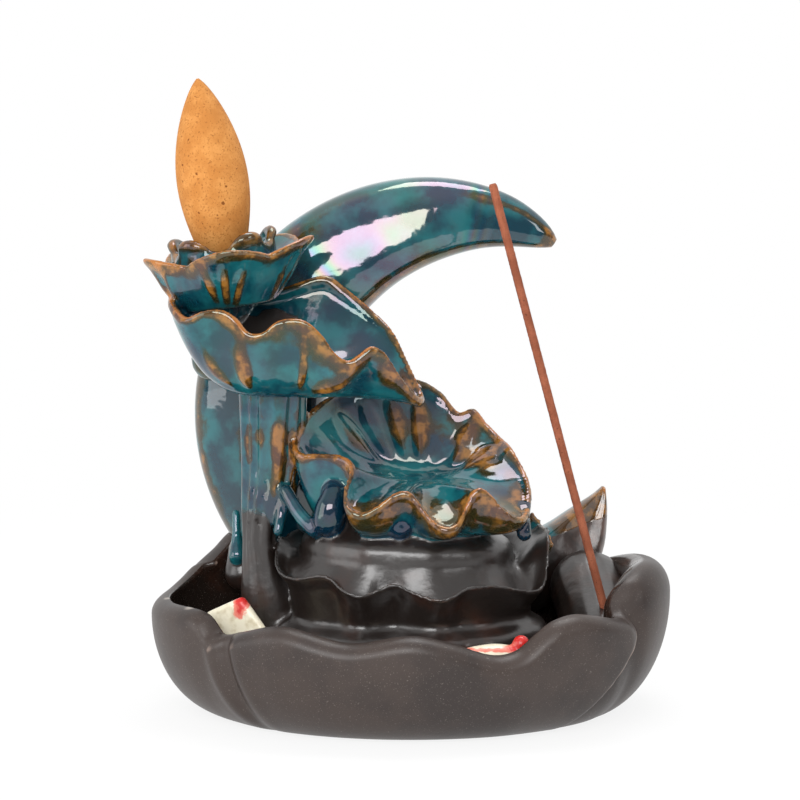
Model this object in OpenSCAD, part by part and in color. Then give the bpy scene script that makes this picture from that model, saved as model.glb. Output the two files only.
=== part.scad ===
// Backflow incense burner: a slip cast and glazed ceramic piece with a lotus leaf dish,
// stepped ledges, a crescent moon, two curled leaves, and a lotus flower cup that holds
// the cone. Smoke sinks through the cup, over both leaves and down the ledges.
// Millimetres. X is to the right, Y to the back, Z up. The origin is the middle of the foot.

/* [Dish] */
// Width of the dish across its rim
dish_w = 105; // [98:1:115]
// Depth of the dish, front to back
dish_d = 82; // [78:1:90]
// Height of the outer wall where the front rim stands level
dish_h = 21; // [18:0.5:24]
// Thickness of the dish wall at its rim
dish_wall = 4; // [3:0.25:6]
// Height of the basin floor above the table
floor_h = 11; // [8:0.5:12.5]
// Width of the foot that the dish stands on
foot_w = 76; // [68:1:84]
// Width of the foot ring itself
foot_ring = 6; // [4:0.5:9]
// Depth of the recess inside the foot ring
foot_recess = 2; // [1:0.25:4]

/* [Ledges] */
// Width of the stepped mound, left to right
ledge_w = 56; // [50:1:60]
// Height of the low shelf above the basin floor
low_shelf_h = 7.5; // [6.5:0.5:10]
// Height of the scalloped ledge's rim above the basin floor
mid_ledge_h = 18.5; // [16:0.5:20]
// Height of the top ledge above the basin floor
top_ledge_h = 24.5; // [22:0.5:26]

/* [Moon] */
// Outer radius of the crescent
moon_r = 49.6; // [47:0.2:51]
// Greatest thickness of the crescent from its front to its back
moon_t = 21; // [17:0.5:24]
// Sideways place of the crescent's centre
moon_x = 4.5; // [2:0.5:7]
// Distance of the crescent's middle plane behind the dish's centre
moon_y = 22.5; // [20:0.5:24]
// Depth that the crescent is sunk into the basin floor
moon_sink = 3.2; // [2:0.2:5]

/* [Lower leaf] */
// Width of the lower leaf across its ruffled rim
lower_leaf_w = 48; // [44:1:52]
// Height of the lower leaf's middle above the top ledge
lower_leaf_rise = 11; // [9:0.5:13]
// Height of the lower leaf's underside above the top ledge
lower_leaf_under = 1.5; // [0:0.5:3]
// Thickness of both leaves at their rims
leaf_rim_t = 2.2; // [1.6:0.1:3]
// Height of the veins inside both leaves
vein_h = 0.7; // [0.4:0.1:1.2]

/* [Upper leaf] */
// Length of the upper leaf, left to right
upper_leaf_w = 50; // [47:1:53]
// Height of the upper leaf's underside above the table
upper_leaf_z = 64; // [61:0.5:66]

/* [Lotus cup] */
// Radius of the flower across its outer petal tips
lotus_r = 18; // [16.8:0.1:18.8]
// Height of the neck between the upper leaf's underside and the flower
neck_h = 20; // [18.5:0.25:21.5]
// Height of the flower from its neck to the cup floor
lotus_h = 9; // [8:0.25:10.5]
// Lean of the flower and its cone to the left, in degrees
lotus_lean = 8; // [5:0.5:11]
// Diameter of the smoke hole in the cup floor
smoke_d = 5; // [3.5:0.25:6]

/* [Incense] */
// Greatest diameter of the incense cone
cone_d = 14.5; // [12:0.5:16]
// Length of the incense cone
cone_l = 35; // [30:0.5:42]
// Diameter of the cone's flat base
cone_base_d = 9.6; // [8:0.2:11]
// Diameter of the hole up the middle of the cone
cone_bore_d = 3; // [2:0.25:4]
// Depth of the hole up the middle of the cone
cone_bore_l = 16; // [10:1:22]
// Diameter of the incense stick
stick_d = 1.75; // [1.5:0.05:2.6]
// Length of the incense stick
stick_l = 95; // [80:1:105]
// Lean of the stick to the left, in degrees
stick_lean = 15; // [8:0.5:20]
// Depth of the hole that holds the stick
stick_hole_l = 6; // [4:0.5:7]
// Clearance round the stick in its hole
stick_gap = 0.15; // [0.1:0.05:0.4]
// Height of the stick's hole above the basin floor
stick_rise = 10; // [8.5:0.25:11.5]

/* [Koi] */
// Height of the left koi, which lifts its head
left_koi_h = 14.2; // [12:0.2:16]
// Length of the right koi's body
right_koi_l = 18; // [15:0.5:20]
// Clearance of both koi over the glazed floor
koi_gap = 0.05; // [0:0.05:0.3]

/* [Hidden] */

// Glaze and clay colours
DARK_GLAZE = [0.17, 0.13, 0.12];
TEAL_GLAZE = [0.10, 0.42, 0.46];
DEEP_TEAL = [0.07, 0.30, 0.36];
AMBER_GLAZE = [0.55, 0.36, 0.16];
CONE_TAN = [0.84, 0.58, 0.32];
STICK_BROWN = [0.62, 0.36, 0.27];
KOI_CREAM = [0.93, 0.90, 0.80];

// Sizes that the tables of the dish, of the ledges and of the leaves are drawn for
DISH_DRAWN = [105, 82];
LEDGE_DRAWN_W = 56;
LOWER_DRAWN_W = 48;
UPPER_DRAWN_W = 50;

// Steps round each lobed form
DISH_STEP = 6;
LEAF_STEP = 6;
LOTUS_STEP = 7.2;
MOUND_STEP = 7.5;

// Facets round small drops and balls
BALL_FACETS = 10;

rim_x = dish_w / 2;
rim_y = dish_d / 2;
foot_x = foot_w / 2;
foot_y = foot_x * rim_y / rim_x;
top_ledge_z = floor_h + top_ledge_h;
mid_ledge_z = floor_h + mid_ledge_h;
low_shelf_z = floor_h + low_shelf_h;
moon_z = floor_h - moon_sink + moon_r;
lower_leaf_z = top_ledge_z + lower_leaf_rise;

// Centres of the lobed forms, in plan
MOUND_AT = [-1, 3];
LOWER_LEAF_AT = [2, -1];
UPPER_LEAF_AT = [-24, -2];
lotus_at = [-36.5, 3, upper_leaf_z + neck_h];
stick_at = [rim_x - 13.2, -0.195 * rim_y];
stick_top_z = floor_h + stick_rise;

// Each row: direction, how far the rim stands out past the oval, its height against
// dish_h, the wall's extra thickness there and the extra reach of the slope inside it
DISH_RIM = [
    [0, 0.6, 9.4, 7.2, 11], [14, 0.4, 8.4, 6, 10], [32, -0.6, 4.5, 1.6, 6], [48, -2.4, 2.5, 0, 1],
    [68, 0.4, 4.5, 0, 0], [92, 0.2, 5.5, 0, 0], [114, -0.6, 4.5, 0, 0], [132, -2, 8, 0, 0],
    [147, -2.6, 12.2, 0, 0], [153.5, -2, 8.9, 0.3, 0], [159.5, -1.2, 6.1, 0.6, 0],
    [165, -0.8, 3.7, 0.3, 0], [172, -0.4, 2.2, 0, 0], [190, 0.2, 2.1, 0, 0], [204, -0.4, 2.6, 0, 0],
    [208.5, -1, 1.7, 0, 0], [212, -1.6, -1.3, 0, 0], [219, -0.8, -0.4, 0, 0], [229, 0.3, 1.6, 0, 0],
    [235, 0.6, 2, 0, 0], [252, -0.2, -0.6, 0, 0], [270, 0.2, 1.1, 0, 0], [281, -0.2, -0.3, 0, 0],
    [294, -0.8, -3.2, 0, 0], [301, -0.6, -2.7, 0, 0], [307, -0.2, 0.6, 0, 0], [311, 0.1, 2.6, 0, 0],
    [317, 0.4, 3.6, 0, 1], [323.5, 0.5, 2.8, 0, 3], [332, -0.2, 1.3, 0, 6], [335, -1, 1.6, 2, 8],
    [338, -1.2, 4.6, 5, 10], [342, -0.2, 7.6, 6.6, 11], [350, 0.3, 9.6, 7.4, 11.5]
];

// Each row: direction, reach of the scalloped ledge, its rim's height against mid_ledge_z
MID_LEDGE = [
    [0, 29.4, 7], [40, 24, 5], [90, 20, 5], [140, 24, 5], [180, 25, 5], [195, 27.4, 4],
    [202.5, 28.7, 2], [209, 29, 0.3], [221, 28.8, 0], [231, 28.2, 1.1], [237, 27.8, 0.9],
    [244.5, 28.6, -1.2], [251, 28, -2.1], [257, 26, -1.4], [265, 25.1, -0.1], [273, 26.6, -1.3],
    [283, 28.5, -2.7], [290, 28.6, -2.1], [297, 27.8, -0.9], [308, 28.9, -0.8], [322, 29.4, -2.5],
    [332, 30.2, -3.4], [337, 30.8, -2.6], [341, 30.8, 0], [345, 30.6, 4], [351, 30, 6.4]
];

// Each row: direction, reach of the lower leaf's rim, its height against lower_leaf_z
LOWER_RIM = [
    [5, 21.5, 1.5], [18, 20, 5.6], [35, 20.6, 7.4], [47, 20.2, 10.2], [56, 20.4, 12.8],
    [64, 18.8, 12], [76, 19, 16], [90, 18.2, 18.6], [114, 19.5, 19], [139, 21, 17],
    [168, 23, 13.5], [184, 25.4, 9], [189, 25.6, 7.6], [194, 24.6, 6.6], [200, 21.4, 6.7],
    [208, 18.4, 6.6], [219, 17.6, 4.6], [224, 20.8, 0.6], [229.5, 22.2, -2.4], [238, 21.4, -3.5],
    [246, 19.8, -1.8], [254, 18.2, 0.3], [262, 17.4, 0.6], [267, 17.6, -0.6], [275.5, 19, -4.2],
    [283, 20.8, -6], [291, 20.6, -5.4], [298, 19.2, -2.4], [302, 19.4, 0.2], [307, 20, 1.1],
    [313, 21.4, -0.8], [318, 23.2, -3.8], [327, 23.8, -5.2], [338, 23.2, -4.2], [350, 22.4, -1.6]
];

// Each row: direction, reach of the upper leaf's rim, its height against upper_leaf_z
UPPER_RIM = [
    [0, 26.4, 0.6], [8, 24, 6], [16, 21.8, 11.8], [28, 19.2, 16], [45, 15.4, 21],
    [58, 13.6, 23.4], [84, 11.8, 22], [116, 13.4, 20], [145, 19.4, 20], [170, 23.8, 20.4],
    [190, 23.8, 18.8], [203, 22.2, 16.8], [212, 20, 18.2], [221, 17.6, 18.5], [229, 15.8, 16.8],
    [236, 14.6, 14.2], [246, 13.2, 14], [258, 11.9, 16.1], [274, 12, 16.8], [288, 12.6, 16.1],
    [300, 14, 13.2], [307, 15.4, 10], [314.5, 17, 8.5], [320, 18.4, 9.6], [325.5, 19.9, 11.2],
    [332, 21.4, 10], [341, 23.4, 4.8], [350, 25.6, 0.8]
];

// Each row: direction from the moon's centre, how far its outer edge lies inside moon_r,
// the radius of its inner edge and its share of the full thickness
MOON_EDGE = [
    [54, 4.5, 42.8, 0.14], [57, 3.4, 41.4, 0.26], [62, 2.2, 39.6, 0.38], [70, 1, 37.2, 0.5],
    [85, 0.2, 32.8, 0.72], [100, 0, 29.3, 0.86], [120, 0, 25.8, 0.96], [150, 0, 23, 1],
    [185, 0, 21.8, 1], [220, 0.2, 22.6, 1], [255, 0.6, 25.2, 0.98], [285, 1.8, 28.5, 0.9],
    [305, 2, 32, 0.76], [317, 1.9, 34.2, 0.62], [323, 3.6, 35.2, 0.54], [328, 5.8, 36.4, 0.45],
    [332, 7.4, 37.8, 0.34], [335, 8.8, 38.8, 0.24], [337, 9.5, 39.2, 0.15]
];

// Directions of the sections through the moon, closer together towards both tips
MOON_WAYS = [54, 57, 61, 66, each [72 : 9 : 306], 312, 317, 321, 325, 329, 332, 335, 337];

// Row i of a closed table, counted round and round
function row(t, i) = let (n = len(t), turn = floor(i / n))
    [for (c = [0 : len(t[0]) - 1]) t[i - turn * n][c] + (c == 0 ? 360 * turn : 0)];

// Slope of column c at row i of a closed table
function slope(t, i, c) = let (p = row(t, i - 1), q = row(t, i + 1))
    (q[c] - p[c]) / (q[0] - p[0]);

// Smooth value of column c in direction a, through the rows of a closed table
function at(t, a, c) = let (
        i = len([for (r = t) if (r[0] <= a) 1]) - 1,
        p = row(t, i), q = row(t, i + 1), w = q[0] - p[0], s = (a - p[0]) / w)
    (2 * s ^ 3 - 3 * s ^ 2 + 1) * p[c] + (s ^ 3 - 2 * s ^ 2 + s) * w * slope(t, i, c)
    + (3 * s ^ 2 - 2 * s ^ 3) * q[c] + (s ^ 3 - s ^ 2) * w * slope(t, i + 1, c);

// Radius of an oval in direction a
function oval(a, x, y) = x * y / sqrt((y * cos(a)) ^ 2 + (x * sin(a)) ^ 2);

// One point in direction a, at radius r and height z
function polar(a, r, z) = [r * cos(a), r * sin(a), z];

// Rounded box power curve, for sections between an ellipse and a rectangle
function squared(v, power) = sign(v) * abs(v) ^ power;

// Middle of a ring of points
function middle(ring) = [for (c = [0 : 2]) let (v = [for (p = ring) p[c]])
    v * [for (p = ring) 1] / len(ring)];

// Closed solid through a stack of rings, each with as many points, capped at both ends
module skin(rings) {
    n = len(rings[0]);
    m = len(rings);
    polyhedron(
        concat([for (r = rings) each r], [middle(rings[0]), middle(rings[m - 1])]),
        concat(
            [for (i = [0 : m - 2], j = [0 : n - 1])
                let (a = i * n + j, b = i * n + (j + 1) % n)
                each [[a, a + n, b], [b, a + n, b + n]]],
            [for (j = [0 : n - 1]) [m * n, j, (j + 1) % n]],
            [for (j = [0 : n - 1]) [m * n + 1, (m - 1) * n + (j + 1) % n, (m - 1) * n + j]]));
}

// A run of glaze or clay from one ball to another
module run(from, from_r, to, to_r) {
    hull() {
        translate(from) sphere(r = from_r, $fn = BALL_FACETS);
        translate(to) sphere(r = to_r, $fn = BALL_FACETS);
    }
}

// Stretches what stands in the basin as the dish's plan is stretched
module on_plan() {
    scale([dish_w / DISH_DRAWN[0], dish_d / DISH_DRAWN[1], 1]) children();
}

// The lobed dish, from the recess in its foot over the rim to the basin floor
module dish() {
    side = [0, 20, 38, 56, 74, 90];
    inner = [26, 56, 90];
    inner_reach = 5;
    lip = 1.6;
    function rim_r(a) = oval(a, rim_x, rim_y) + at(DISH_RIM, a, 1);
    function rim_z(a) = dish_h + at(DISH_RIM, a, 2);
    function wall(a) = dish_wall + at(DISH_RIM, a, 3);
    function foot_r(a) = oval(a, foot_x, foot_y);
    function ring(f) = [for (a = [0 : DISH_STEP : 359]) f(a)];
    recess = [for (dz = [foot_recess, 0]) ring(function (a)
        polar(a, foot_r(a) - foot_ring, dz))];
    outside = [for (t = side) ring(function (a) polar(a,
        foot_r(a) + (rim_r(a) - foot_r(a)) * sin(t), (rim_z(a) - lip) * (1 - cos(t))))];
    edge = [for (e = [[0.22, 0.3], [0.5, 0], [0.78, 0.3], [1, lip]]) ring(function (a)
        polar(a, rim_r(a) - wall(a) * e[0], rim_z(a) - e[1] * wall(a) / dish_wall))];
    basin = [for (t = inner) ring(function (a) polar(a,
        rim_r(a) - wall(a) - (inner_reach + at(DISH_RIM, a, 4)) * (1 - cos(t)),
        floor_h + (rim_z(a) - lip * wall(a) / dish_wall - floor_h) * (1 - sin(t))))];
    color(DARK_GLAZE) skin(concat(recess, outside, edge, basin));
}

// The stepped mound: a low shelf, a scalloped ledge with a raised rim, and a round top ledge
module ledges() {
    top_r = 20.7;
    scallop = 0.25;
    function reach(a) = at(MID_LEDGE, a, 1) * ledge_w / LEDGE_DRAWN_W;
    function top_reach(a) = (top_r + scallop * at(MID_LEDGE, a, 1)) * ledge_w / LEDGE_DRAWN_W;
    function rim_z(a) = mid_ledge_z + at(MID_LEDGE, a, 2);
    function top_z(a) = top_ledge_z + 1.2 * sin(a - 130);
    function ring(f) = [for (a = [0 : MOUND_STEP : 359]) f(a)];
    low = [for (e = [[-0.4, -10], [-0.4, -3.6], [-1, -1], [-2.4, 0], [-3.8, 1.2]])
        ring(function (a) polar(a, reach(a) + e[0], low_shelf_z + e[1]))];
    mid = [for (e = [[-1.8, -2.8], [-0.2, -0.7], [-0.4, 0], [-1.2, -0.4], [-3.2, -2]])
        ring(function (a) polar(a, reach(a) + e[0], rim_z(a) + e[1]))];
    top = [for (e = [[-5.4, -4.6], [-5.9, -2.4], [-7, -0.6], [-9, 0.6], [-11, 2.4], [-15, 8]])
        ring(function (a) polar(a, top_reach(a) + e[0], top_z(a) + e[1]))];
    color(DARK_GLAZE) on_plan() translate(MOUND_AT) skin(concat(low, mid, top));
}

// The crescent moon: a rounded square section swept from the upper tip to the horn. Its
// front leans back towards the outer edge
module moon() {
    around = 20;
    fullness = 0.72;
    lean = 0.2;
    function section(a) = let (
            outer = moon_r - at(MOON_EDGE, a, 1), inner = at(MOON_EDGE, a, 2),
            mid = (outer + inner) / 2, half = (outer - inner) / 2,
            deep = moon_t / 2 * at(MOON_EDGE, a, 3))
        [for (f = [0 : around : 359]) let (
                across = squared(cos(f), fullness), up = squared(sin(f), fullness),
                r = mid + half * across)
            [r * cos(a), deep * up * (up < 0 ? 1 - lean * across : 1), r * sin(a)]];
    color(TEAL_GLAZE) translate([moon_x, moon_y, moon_z])
        skin([for (a = MOON_WAYS) section(a)]);
}

// A ruffled leaf: a bowl with raised veins, from its underside over the rim inside. Its outer
// wall falls more steeply from the rim with a higher fall
module leaf(rim, scale_r, rim_z, under_z, inside_z, fall, veins) {
    function reach(a) = at(rim, a, 1) * scale_r;
    function edge_z(a) = rim_z + at(rim, a, 2);
    function vein(a) = a % veins == 0 ? vein_h : 0;
    function ring(f) = [for (a = [0 : LEAF_STEP : 359]) f(a)];
    under = [for (f = [0.5, 0.82, 0.94]) ring(function (a) polar(a, reach(a) * f,
        under_z + (edge_z(a) - leaf_rim_t - under_z) * f ^ fall))];
    edge = [for (e = [[0, -leaf_rim_t], [0.5, -0.8], [0.1, 0], [-0.7, -0.2]])
        ring(function (a) polar(a, reach(a) + e[0], edge_z(a) + e[1]))];
    inside = [for (f = [0.86, 0.62, 0.36, 0.12]) ring(function (a) polar(a, reach(a) * f,
        inside_z + (edge_z(a) - inside_z) * f ^ 2.2 - 0.5 + vein(a)))];
    skin(concat(under, edge, inside));
}

// The lower leaf, which leans towards the front and pours over the ledges
module lower_leaf() {
    color(TEAL_GLAZE) translate(LOWER_LEAF_AT)
        leaf(LOWER_RIM, lower_leaf_w / LOWER_DRAWN_W, lower_leaf_z, top_ledge_z + lower_leaf_under,
            lower_leaf_z + 1, 9, 30);
}

// The upper leaf, a long boat whose tip pours to the right
module upper_leaf() {
    color(DEEP_TEAL) translate(UPPER_LEAF_AT)
        leaf(UPPER_RIM, upper_leaf_w / UPPER_DRAWN_W, upper_leaf_z, upper_leaf_z, upper_leaf_z + 7, 4, 36);
}

// Moves the flower and its cone to their place, leaning together
module on_lotus() {
    translate(lotus_at) rotate([0, -lotus_lean, 0]) children();
}

// The lotus flower: five outer petals, five inner ones between them, and the cup
module lotus() {
    petals = 5;
    front = 270;
    part_w = 360 / petals;
    function off(a, turn) = let (d = (a - front - turn + 720) % part_w)
        min(d, part_w - d) / (part_w / 2);
    function outer(a) = 1 - off(a, 0) ^ 1.5;
    function inner(a) = 1 - off(a, part_w / 2) ^ 1.5;
    function ring(f) = [for (a = [0 : LOTUS_STEP : 359]) f(a)];
    tip_grow = 3.6;
    tip_r = lotus_r - tip_grow;
    sway = 1.4;
    // Each row: radius, its growth at an outer tip and at an inner tip, height, its growth
    profile = [
        [9.5, 0, 0, -2, 0, 0], [11.8, 0.4, 0, 2, 0, 0], [13.2, 1.4, 0, 5.2, 0.4, 0],
        [tip_r, tip_grow, 0, 7.2, 2.1, 0], [tip_r - 0.8, tip_grow - 0.2, 0, 7.8, 2.2, 0],
        [12, 1.6, 0, 6.6, 0.7, 0], [10.8, 0, 0.2, 6.6, 0, 0], [10.4, 0, 0.8, 8.2, 0, 0.3],
        [10.2, 0, 1.4, 9.6, 0, 1.1], [9.2, 0, 1.2, 9.9, 0, 1.1], [8.2, 0, 0.4, 9.5, 0, 0.4]
    ];
    petal_rings = [for (p = profile) ring(function (a) polar(a,
        p[0] + p[1] * outer(a) + p[2] * inner(a), p[3] + p[4] * outer(a) + p[5] * inner(a))
        + [sway * p[1] / tip_grow, 0, 0])];
    cup = [for (e = [[7, 0.3], [6.2, 0]]) ring(function (a) polar(a, e[0], lotus_h + e[1]))];
    color(TEAL_GLAZE) on_lotus() skin(concat(petal_rings, cup));
}

// The thick neck between the flower, the upper leaf's left end and the moon
module neck() {
    color(DEEP_TEAL) {
        run(lotus_at + [-4.6, 0, -8], 4, lotus_at + [-3, 1, 1], 6.5);
        run(lotus_at + [-4, 8, -14], 4.5, lotus_at + [0, 7, 0], 5);
    }
}

// The fluted pillar of water from the upper leaf, which narrows before it meets the clay
module pillar() {
    flutes = 6;
    flute_depth = 0.09;
    // Each row: height, middle, half width, half depth
    stations = [
        [floor_h - 2, -27.6, 7.2, 6.6], [22, -28.4, 6.2, 6], [29, -29.6, 4.6, 5.2],
        [35, -30.2, 3.6, 4.8], [42, -29, 5, 5.2], [50, -27.8, 6.2, 5.5],
        [upper_leaf_z + 3, -27.8, 6.8, 7]
    ];
    color(TEAL_GLAZE) skin([for (s = stations) [for (a = [0 : 12 : 359])
        let (r = oval(a, s[2], s[3]) * (1 + flute_depth * cos(flutes * a)))
        [s[1] + r * cos(a), 1.5 + r * sin(a), s[0]]]]);
}

// The dark clay that the pillar and the left end of the ledges grow out of
module root() {
    color(DARK_GLAZE) {
        run([-28, 2, floor_h], 8, [-28, 3, top_ledge_z - 9], 5.4);
        run([-35, 12, top_ledge_z - 5], 3, [-34, 12, floor_h + 2], 4.4);
    }
}

// Thick glaze that has run from the leaves and the moon and stopped over the dark clay
module glaze_runs() {
    z = top_ledge_z;
    color(DEEP_TEAL) {
        run([-35.8, 11.6, z + 3], 1.4, [-35.6, 10, z - 6.4], 1.8);
        run([-25, -4.4, z + 9], 2.2, [-18.8, -10, z + 1.6], 2.2);
        run([-25.4, -3.4, z + 7], 1.8, [-26.8, -6, z + 0.6], 1.4);
        run([-13, -12, z + 9], 2, [-13.2, -13.8, z + 3.6], 2.8);
        run([-2, -14, z + 6], 2, [-2, -15, z + 3.6], 2.2);
        run([22.8, -8, z + 6], 1.8, [22.9, -8.6, z + 1], 1.8);
    }
}

// A small curled petal between the lower leaf and the horn of the moon
module side_petal() {
    z = floor_h + 20;
    color(AMBER_GLAZE) hull() {
        translate([25.2, 8.4, z + 6.6]) sphere(r = 0.9, $fn = BALL_FACETS);
        translate([28.9, 6, z + 1.4]) sphere(r = 0.9, $fn = BALL_FACETS);
        translate([24, 6.6, z - 4]) sphere(r = 3, $fn = BALL_FACETS);
    }
}

// The ramp that fills the right of the basin: the stick stands in its low front end and the
// horn of the moon rises from its back
module ramp() {
    x = stick_at[0];
    color(DARK_GLAZE) {
        run([x - 0.4, stick_at[1] - 0.4, stick_top_z - 7.2], 7.6, [x - 0.8, 3, floor_h + 6.8], 8);
        run([x - 0.8, 3, floor_h + 6.8], 8, [x - 2.3, 12.4, floor_h + 11], 8);
    }
}

// Moves things to the stick's place, leaning as it does
module on_stick() {
    translate([stick_at[0], stick_at[1], stick_top_z]) rotate([0, -stick_lean, 0]) children();
}

// Hole in the cup floor that lets the smoke sink into the hollow of the upper leaf
module smoke_hole() {
    hole_l = lotus_h + 6;
    hole_lean = 28;
    on_lotus() translate([0, 0, lotus_h]) rotate([0, hole_lean, 0])
        translate([0, 0, -hole_l]) cylinder(d = smoke_d, h = hole_l + 3, $fn = 32);
}

// Blind hole for the stick
module stick_hole() {
    on_stick() translate([0, 0, -stick_hole_l])
        cylinder(d = stick_d + 2 * stick_gap, h = stick_hole_l + 6, $fn = 32);
}

// The whole ceramic piece, luted together and fired as one
module burner_body() {
    difference() {
        union() {
            dish();
            ledges();
            moon();
            lower_leaf();
            upper_leaf();
            lotus();
            neck();
            pillar();
            root();
            glaze_runs();
            side_petal();
            ramp();
        }
        smoke_hole();
        stick_hole();
    }
}

// The incense cone: a bullet with a blind hole up the middle of its flat base
module incense_cone() {
    shoulder = 0.4;
    steps = 14;
    r = cone_d / 2;
    base_r = cone_base_d / 2;
    function lower(s) = base_r + (r - base_r) * sin(90 * s);
    function upper(s) = r * cos(90 * s) ^ 0.72;
    outline = concat(
        [[0, 0]],
        [for (i = [0 : 5]) [lower(i / 5), cone_l * shoulder * i / 5]],
        [for (i = [1 : steps]) let (s = i / steps)
            [i == steps ? 0 : upper(s), cone_l * (shoulder + (1 - shoulder) * s)]]);
    color(CONE_TAN) on_lotus() translate([0, 0, lotus_h]) difference() {
        rotate_extrude($fn = 96) polygon(outline);
        translate([0, 0, -1]) cylinder(d = cone_bore_d, h = cone_bore_l + 1, $fn = 72);
    }
}

// The incense stick, which stands on the bottom of its hole
module incense_stick() {
    color(STICK_BROWN) on_stick() translate([0, 0, -stick_hole_l])
        cylinder(d = stick_d, h = stick_l, $fn = 72);
}

// One koi's solid through ovals along its back: each row is a place, half sizes, heading
module fish(stations) {
    skin([for (s = stations) [for (f = [0 : 24 : 359])
        let (h = s[3], side = s[1] * cos(f), up = s[2] * sin(f))
        [s[0][0] - side * sin(h), s[0][1] + side * cos(h), s[0][2] + up]]]);
}

// Keeps only what lies above the basin floor
module above_floor() {
    intersection() {
        children();
        translate([-dish_w / 2, -dish_d / 2, floor_h + koi_gap]) cube([dish_w, dish_d, dish_d]);
    }
}

// The left koi, which lifts its head and spreads its side fins
module koi_left() {
    z = floor_h;
    tip = 0.8;
    belly = 3;
    color(KOI_CREAM) on_plan() above_floor() union() {
        hull() {
            translate([-33.5, -14.6, z + left_koi_h - 1.2]) sphere(r = 1.2, $fn = BALL_FACETS);
            translate([-39.8, -13.6, z + left_koi_h - 3.8]) sphere(r = tip, $fn = BALL_FACETS);
            translate([-29.2, -16.8, z + left_koi_h - 6.2]) sphere(r = tip, $fn = BALL_FACETS);
            translate([-36, -12.6, z + 2]) sphere(r = belly, $fn = BALL_FACETS);
            translate([-31, -15, z + 2]) sphere(r = belly, $fn = BALL_FACETS);
        }
        run([-30, -15.8, z + 2.6], belly, [-24.4, -20.4, z + 2.2], 2.2);
        run([-24.4, -20.4, z + 2.2], 2, [-20.6, -24.4, z + 8.4], tip);
    }
}

// The right koi, which lies along the front wall with its head to the right and one fin up
module koi_right() {
    z = floor_h;
    l = right_koi_l;
    nose_x = 21.8;
    back_y = -29.4;
    fin_r = 1.7;
    tail_r = 0.8;
    color(KOI_CREAM) on_plan() above_floor() union() {
        fish([for (s = [
                [0, 0.8, 1.2, 3.4], [0.14, 1.6, 2.6, 3.8], [0.4, 2.6, 4.2, 4],
                [0.66, 2.9, 4.6, 4.2], [0.86, 2.6, 4.4, 4.2], [0.97, 1.5, 2.6, 4.6]
            ]) [[nose_x - l + l * s[0], back_y + 2.4 * s[0], z + s[3]], s[1], s[2], 8]]);
        run([nose_x - 0.8, back_y + 2.2, z + 6], fin_r, [nose_x - 0.2, back_y + 2.2, z + 7.4], fin_r);
        hull() {
            translate([nose_x - l, back_y, z + 3.6]) sphere(r = 1.2, $fn = BALL_FACETS);
            translate([nose_x - l - 3, back_y + 1.4, z + 5.4]) sphere(r = tail_r, $fn = BALL_FACETS);
            translate([nose_x - l - 3.2, back_y - 0.6, z + 1.6]) sphere(r = tail_r, $fn = BALL_FACETS);
        }
    }
}

burner_body();
koi_left();
koi_right();
incense_cone();
incense_stick();
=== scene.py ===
import logging
import math
from dataclasses import dataclass
from enum import Enum
from typing import Sequence

import bmesh
import bpy
import numpy as np
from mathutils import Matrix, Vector, noise
from mathutils.bvhtree import BVHTree
from mathutils.kdtree import KDTree


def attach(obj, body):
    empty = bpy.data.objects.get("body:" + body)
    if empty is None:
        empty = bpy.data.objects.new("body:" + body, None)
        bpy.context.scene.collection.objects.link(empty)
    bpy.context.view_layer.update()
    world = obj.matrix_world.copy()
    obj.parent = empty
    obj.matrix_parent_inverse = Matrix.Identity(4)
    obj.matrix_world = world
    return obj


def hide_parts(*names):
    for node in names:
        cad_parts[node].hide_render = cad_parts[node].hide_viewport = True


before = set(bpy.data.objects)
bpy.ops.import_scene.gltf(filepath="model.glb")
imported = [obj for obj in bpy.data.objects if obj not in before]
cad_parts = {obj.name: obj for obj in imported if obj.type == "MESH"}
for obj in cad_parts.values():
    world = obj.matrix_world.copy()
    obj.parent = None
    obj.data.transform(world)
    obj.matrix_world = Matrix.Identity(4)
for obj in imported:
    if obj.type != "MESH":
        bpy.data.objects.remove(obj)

# Sizes below are in millimetres, as potters measure, and MM turns them into metres.
MM = 0.001
# Height of the basin floor above the table.
BASIN = 11
ROOT = "root"
BODY_NODE = "burner_body"
# Grain of the skins that join parts, and the rounds that smooth them.
FLOWER_GRAIN, STEPS_GRAIN, KOI_GRAIN = 0.42, 0.5, 0.3
GLAZE_ROUNDS, KOI_ROUNDS = 4, 3
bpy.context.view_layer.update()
log = logging.getLogger("burner")

Piece = bpy.types.Object
Finish = bpy.types.Material
Socket = bpy.types.NodeSocket
Ring = np.ndarray
Spot = tuple[float, float, float]
Path = tuple[Spot, ...]
Colour = tuple[float, float, float, float]


class Slot(Enum):
    """The record's material slots."""

    CLAY = "glazed_clay"
    KOI = "painted_clay"
    CONE = "pressed_powder"
    STICK = "stick_powder"


def srgb(red: int, green: int, blue: int) -> Colour:
    """Turns a screen colour of 0 to 255 into the linear colour that a shader takes.

    Args:
        red: red share.
        green: green share.
        blue: blue share.

    Returns:
        Linear red, green, blue and full alpha.
    """
    shares = [c / 255 for c in (red, green, blue)]
    linear = [s / 12.92 if s <= 0.04045 else ((s + 0.055) / 1.055) ** 2.4 for s in shares]
    return (linear[0], linear[1], linear[2], 1.0)


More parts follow.
